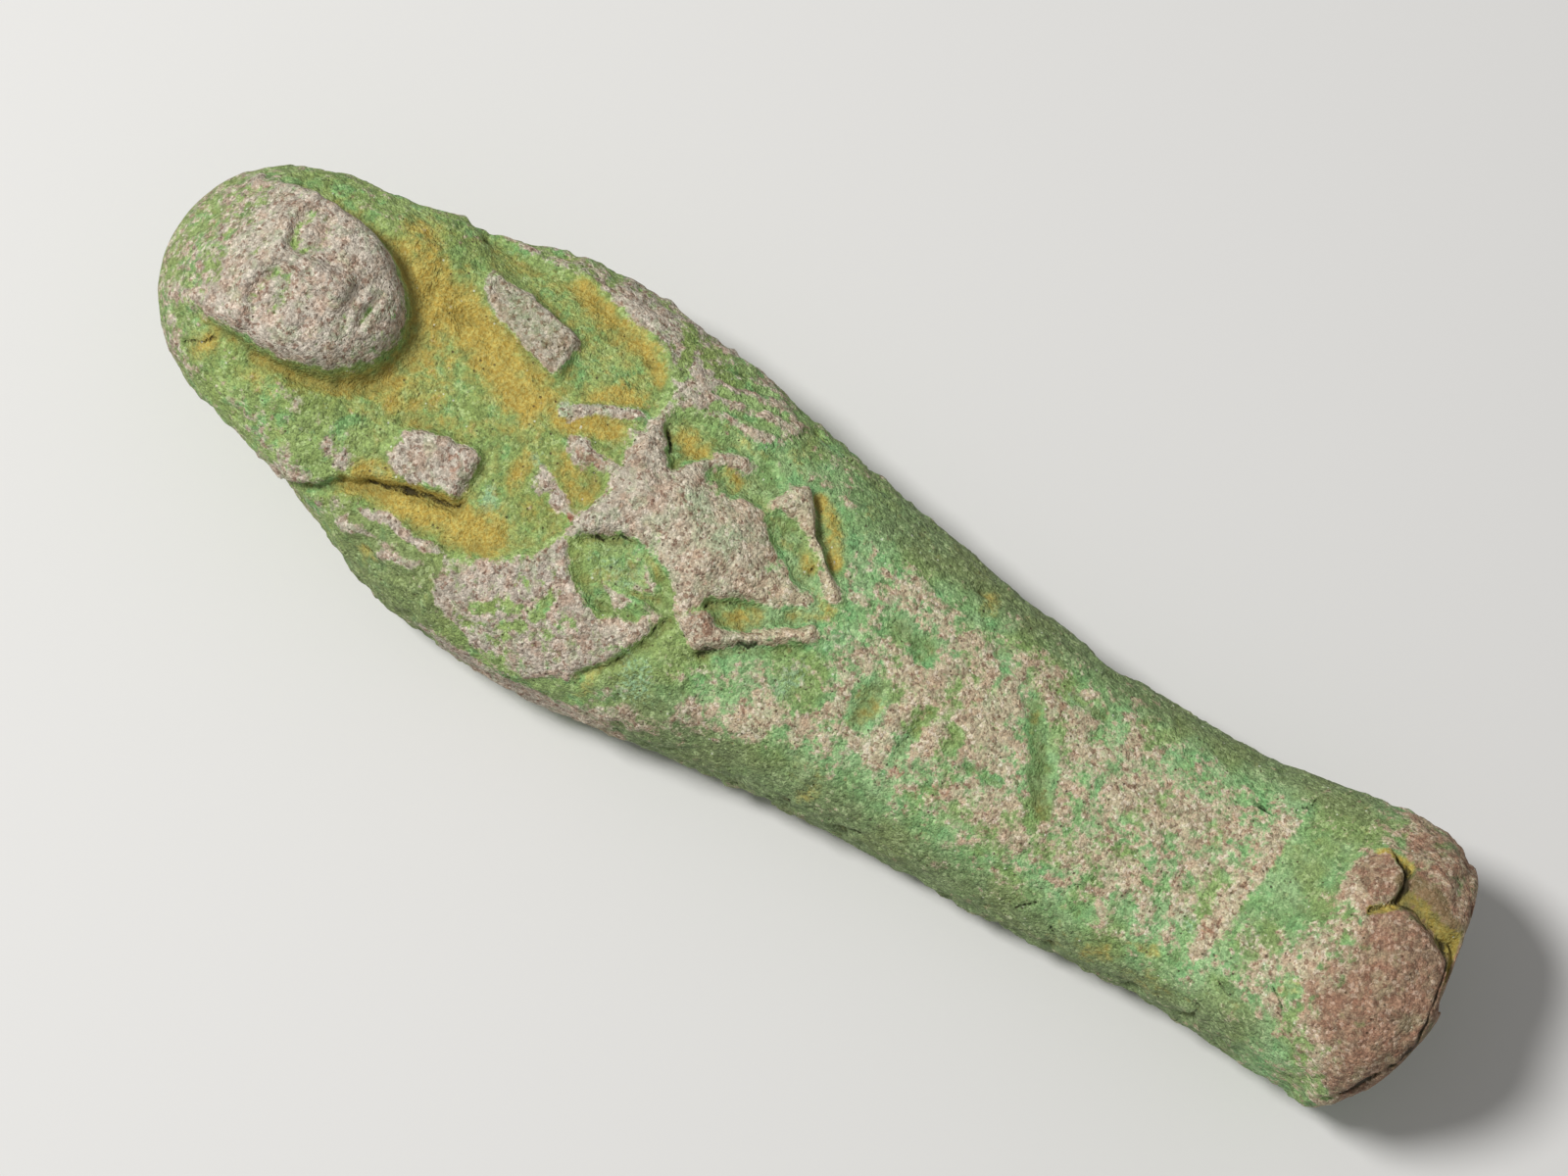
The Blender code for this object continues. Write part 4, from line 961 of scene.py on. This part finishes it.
print("the material is", glaze.name)

# %% Patterns and colours
def field(name):
    node = tree.nodes.new("ShaderNodeAttribute")
    node.attribute_name = name
    return node.outputs["Fac"]


place = tree.nodes.new("ShaderNodeTexCoord").outputs["Object"]


def noise(grain_mm, detail=2, roughness=0.5, shift=0):
    node = tree.nodes.new("ShaderNodeTexNoise")
    node.noise_dimensions = "4D"
    join(place, node.inputs["Vector"])
    node.inputs["W"].default_value = shift
    node.inputs["Scale"].default_value = 1 / (grain_mm * MM)
    node.inputs["Detail"].default_value = detail
    node.inputs["Roughness"].default_value = roughness
    return node.outputs["Fac"]


def grains(grain_mm, shift=0):
    node = tree.nodes.new("ShaderNodeTexVoronoi")
    node.voronoi_dimensions = "4D"
    join(place, node.inputs["Vector"])
    node.inputs["W"].default_value = shift
    node.inputs["Scale"].default_value = 1 / (grain_mm * MM)
    parts = tree.nodes.new("ShaderNodeSeparateColor")
    join(node.outputs["Color"], parts.inputs["Color"])
    return node.outputs["Distance"], parts.outputs["Red"]


def specks(grain_mm, size, shift=0):
    return opposite(step(grains(grain_mm, shift)[0], size * 0.6, size))


def srgb(red, green, blue):
    channels = [c / 255 for c in (red, green, blue)]
    linear = [c / 12.92 if c <= 0.04045 else ((c + 0.055) / 1.055) ** 2.4 for c in channels]
    return (*linear, 1)


def two_tones(pattern, low, high, first, second):
    return blend(step(pattern, low, high), srgb(*first), srgb(*second))


def tint(base, share, strength, tone):
    return blend(times(share, strength), base, srgb(*tone))


print("mid grey as light:", round(srgb(128, 128, 128)[0], 3))

# %% [markdown]
# ### Colours of body and glaze
# Each base is itself two or three close tones moved by noise of different sizes, because one flat tone looks
# like paint. The tones are plain red, green and blue values, tried and adjusted until the whole looked right.

# %% Noise of several sizes
coarse = noise(2.6, 3)
middle = noise(1.1, 4, 0.6, 3)
small = noise(0.55, 3, 0.6, 5)
fine = noise(0.26, 2, 0.6, 7)
grain_edge, grain_tone = grains(0.28, 9)
wide = noise(5.5, 3, 0.55, 23)
print("nodes so far:", len(tree.nodes))

# %% Green glaze and ochre stain
olive = two_tones(coarse, 0.38, 0.62, (150, 176, 103), (166, 189, 115))
leaf = two_tones(coarse, 0.38, 0.62, (142, 187, 121), (162, 199, 141))
green = blend(field("cool"), olive, leaf)
green = tint(green, step(noise(1.5, 3, 0.6, 17), 0.5, 0.62), 0.55, (120, 184, 118))
green = tint(green, step(wide, 0.47, 0.6), 0.6, (148, 166, 90))
# Painted shade: the glaze turns a darker olive grey on the flanks, the crown and above the toes.
green = tint(green, field("flank_shade_and_glaze"), 0.75, (130, 142, 96))
pale_grain = step(grain_tone, 0.8, 0.92)
dark_grain = opposite(step(grain_tone, 0.06, 0.18))
green = tint(green, step(small, 0.54, 0.68), 0.4, (108, 128, 70))
green = tint(green, pale_grain, 0.3, (188, 204, 154))
green = tint(green, dark_grain, 0.25, (104, 120, 70))
mint_share = step(plus(field("mint"), plus(centred(small, 1.4), centred(fine, 1.2))), 0.34, 0.72)
green = tint(green, mint_share, 0.7, (164, 204, 160))
ochre = two_tones(fine, 0.42, 0.6, (188, 160, 72), (200, 184, 100))
toe_share = step(plus(field("toes"), centred(middle, 0.8)), 0.3, 0.9)
green = tint(green, toe_share, 0.9, (124, 112, 78))
stain_share = step(plus(field("stain"), plus(centred(middle, 1.3), centred(small, 0.7))), 0.2, 0.96)
stained = blend(stain_share, green, ochre)
print("nodes so far:", len(tree.nodes))

# %% Sandy body, brown toes and rust
body = two_tones(small, 0.4, 0.6, (214, 204, 188), (194, 181, 166))
cream = two_tones(small, 0.4, 0.6, (226, 214, 176), (206, 190, 154))
body = blend(times(field("cool"), 0.85), body, cream)
body = tint(body, step(middle, 0.46, 0.62), 0.5, (208, 170, 144))
haze = plus(step(noise(1.3, 3, 0.6, 15), 0.5, 0.64), field("mint"))
body = tint(body, haze, 0.45, (176, 192, 152))
body = tint(body, mint_share, 0.4, (174, 206, 160))
# Painted shade: the bare body turns a darker grey brown on the same places.
body = tint(body, field("flank_shade_and_glaze"), 0.35, (152, 142, 118))
toe_body = two_tones(small, 0.38, 0.62, (178, 152, 124), (140, 114, 92))
toe_body = tint(toe_body, step(middle, 0.44, 0.58), 0.5, (180, 132, 108))
toe_body = tint(toe_body, step(coarse, 0.52, 0.66), 0.5, (172, 162, 128))
body = blend(toe_share, body, toe_body)
white = sums("SUBTRACT", 0.5, times(toe_share, 0.3))
body = tint(body, pale_grain, white, (226, 214, 198))
body = tint(body, step(fine, 0.54, 0.66), times(white, 0.5), (224, 212, 196))
body = tint(body, dark_grain, 0.36, (140, 106, 86))
rust_share = step(plus(times(field("rust"), 0.5), centred(small, 1.6)), 0.2, 0.6)
body = tint(body, rust_share, 0.7, (170, 120, 94))
body = blend(step(field("rust"), 1.3, 2), body, srgb(136, 64, 44))
body = tint(body, step(noise(0.42, 2, 0.6, 12), 0.56, 0.64), 0.7, (138, 100, 80))
print("nodes so far:", len(tree.nodes))

# %% Body shows where the glaze is gone
ragged = plus(centred(middle, 1.15), centred(small, 1.4))
ragged = plus(ragged, plus(centred(fine, 0.6), centred(grain_tone, 0.08)))
bare_share = step(plus(field("bare"), ragged), 0.28, 0.7)
colour = blend(bare_share, stained, body)
print("nodes so far:", len(tree.nodes))

# %% [markdown]
# ### Grit and painted shade in hollows and cracks
# Dark mineral grains and a few pale ones sit in the sandy body and show through the glaze. A dark olive is
# painted into tight hollows as their shade, and the dark lines painted along cracks as their shade use the
# distance kept earlier, so their width doesn't depend on the mesh.

# %% Shade the grains
shade = blend(grain_tone, srgb(218, 218, 218), srgb(274, 274, 274))
calm = sums("SUBTRACT", 0.9, times(stain_share, 0.4))
colour = blend(calm, colour, shade, "MULTIPLY")
mottle = two_tones(noise(0.7, 3, 0.65, 25), 0.36, 0.62, (222, 220, 216), (255, 255, 255))
colour = blend(0.7, colour, mottle, "MULTIPLY")
powder = two_tones(noise(0.15, 1, 0.5, 27), 0.36, 0.64, (226, 226, 226), (266, 266, 266))
colour = blend(calm, colour, powder, "MULTIPLY")
print("nodes so far:", len(tree.nodes))

# %% Lay grit and the painted shade in hollows and cracks over the colours
dark_grit = times(specks(0.62, 0.19, 2), 0.75)
colour = blend(dark_grit, colour, srgb(78, 60, 42))
colour = tint(colour, specks(0.8, 0.15, 5), 0.7, (226, 230, 208))
# Painted shade: a dark olive over the hollows, the strokes, the toe cleft and the right tress end.
colour = tint(colour, step(plus(field("hollow"), centred(small, 0.4)), 0.16, 0.8), 0.42, (104, 100, 50))
# Painted shade: a near-black line along cracks and undercut edges; the same line also sinks the bump.
crack_groove_and_shade = opposite(step(plus(field("crack"), centred(small, 0.4)), 0.08, 0.26))
colour = tint(colour, crack_groove_and_shade, 0.9, (44, 36, 20))
join(colour, shader.inputs["Base Color"])
print("nodes so far:", len(tree.nodes))

# %% Matt surface with a gritty bump
GLAZE_ROUGHNESS = 0.74
BARE_IS_ROUGHER = 0.15
SHINE = 0.3
BUMP_DEPTH = 0.23
rough = plus(times(bare_share, BARE_IS_ROUGHER), GLAZE_ROUGHNESS)
join(plus(rough, centred(fine, 0.2)), shader.inputs["Roughness"])
shader.inputs["Specular IOR Level"].default_value = SHINE
grit = plus(times(fine, 0.9), times(noise(0.14, 1, 0.5, 21), 0.35))
for pattern, amount in ((small, 0.7), (grain_edge, -0.35), (bare_share, -0.25), (dark_grit, -0.5),
                        (crack_groove_and_shade, -1.2)):
    grit = plus(grit, times(pattern, amount))
bump = tree.nodes.new("ShaderNodeBump")
bump.inputs["Strength"].default_value = 1
bump.inputs["Distance"].default_value = BUMP_DEPTH * MM
join(grit, bump.inputs["Height"])
join(bump.outputs["Normal"], shader.inputs["Normal"])
figurine_mesh.materials.append(glaze)
print("material nodes:", len(tree.nodes))

# %% [markdown]
# ## Floor, light and camera
# The figure lies on a pale floor. One large soft lamp near the camera, from the upper left of the picture,
# models the relief, and an even white surrounding light opens the shadows. The camera looks almost straight
# down, a little from the figure's right hand side, and is turned so that the head lies at the upper left.

# %% Floor
FLOOR_REACH = 1.5
FLOOR_GAP = 0.00005
floor_corners = [(a * FLOOR_REACH, b * FLOOR_REACH, 0) for a, b in ((-1, -1), (1, -1), (1, 1), (-1, 1))]
floor_mesh = bpy.data.meshes.new("floor")
floor_mesh.from_pydata(floor_corners, [], [(0, 1, 2, 3)])
floor = bpy.data.objects.new("floor", floor_mesh)
floor.location.z = -FLOOR_GAP
bpy.context.scene.collection.objects.link(floor)
floor_paint = bpy.data.materials.new("floor_paint")
floor_paint.use_nodes = True
floor_shader = floor_paint.node_tree.nodes["Principled BSDF"]
floor_shader.inputs["Base Color"].default_value = (0.72, 0.71, 0.69, 1)
floor_shader.inputs["Roughness"].default_value = 0.9
floor_mesh.materials.append(floor_paint)
print("the floor is", 2 * FLOOR_REACH, "m wide")

# %% Camera
LEAN = math.radians(14.5)
AXIS_IN_PICTURE = math.radians(32)
DISTANCE = 0.340
PICTURE_WIDTH = 0.1236
FIGURE_MIDDLE = Vector((0.00018, 0.001, 0.009))
MIDDLE_LEFT = 0.00046
MIDDLE_UP = 0.00254
SENSOR = 36
towards_camera = Vector((-math.sin(LEAN), 0, math.cos(LEAN)))
head_way = Vector((0, 1, 0))
right_way = head_way.cross(towards_camera)
picture_right = right_way * math.sin(AXIS_IN_PICTURE) - head_way * math.cos(AXIS_IN_PICTURE)
picture_up = right_way * math.cos(AXIS_IN_PICTURE) + head_way * math.sin(AXIS_IN_PICTURE)
aim = FIGURE_MIDDLE - picture_right * MIDDLE_LEFT + picture_up * MIDDLE_UP
turn = Matrix((picture_right, picture_up, towards_camera)).transposed()
camera_data = bpy.data.cameras.new("camera")
camera_data.sensor_width = SENSOR
camera_data.lens = SENSOR * DISTANCE / PICTURE_WIDTH
camera_data.clip_start = 0.01
camera = bpy.data.objects.new("camera", camera_data)
camera.matrix_world = Matrix.Translation(aim + towards_camera * DISTANCE) @ turn.to_4x4()
bpy.context.scene.collection.objects.link(camera)
bpy.context.scene.camera = camera
print("lens", round(camera_data.lens, 1), "mm")

# %% Lamp and surrounding light
LAMP_AWAY = 0.62
LAMP_LEFT = 0.29
LAMP_UP = 0.22
LAMP_SIZE = 0.16
LAMP_POWER = 4.6
SKY_STRENGTH = 0.28
lamp_data = bpy.data.lights.new("main_lamp", "AREA")
lamp_data.shape = "DISK"
lamp_data.size = LAMP_SIZE
lamp_data.energy = LAMP_POWER
lamp = bpy.data.objects.new("main_lamp", lamp_data)
lamp.location = towards_camera * LAMP_AWAY - picture_right * LAMP_LEFT + picture_up * LAMP_UP
lamp.rotation_euler = (Vector((0, 0, 0.01)) - lamp.location).to_track_quat("-Z", "Y").to_euler()
bpy.context.scene.collection.objects.link(lamp)
world = bpy.data.worlds.new("studio")
world.use_nodes = True
backdrop = world.node_tree.nodes["Background"]
backdrop.inputs["Color"].default_value = (1, 1, 1, 1)
backdrop.inputs["Strength"].default_value = SKY_STRENGTH
bpy.context.scene.world = world
bpy.context.scene.view_settings.view_transform = "Standard"
print("lamp:", LAMP_POWER, "W")
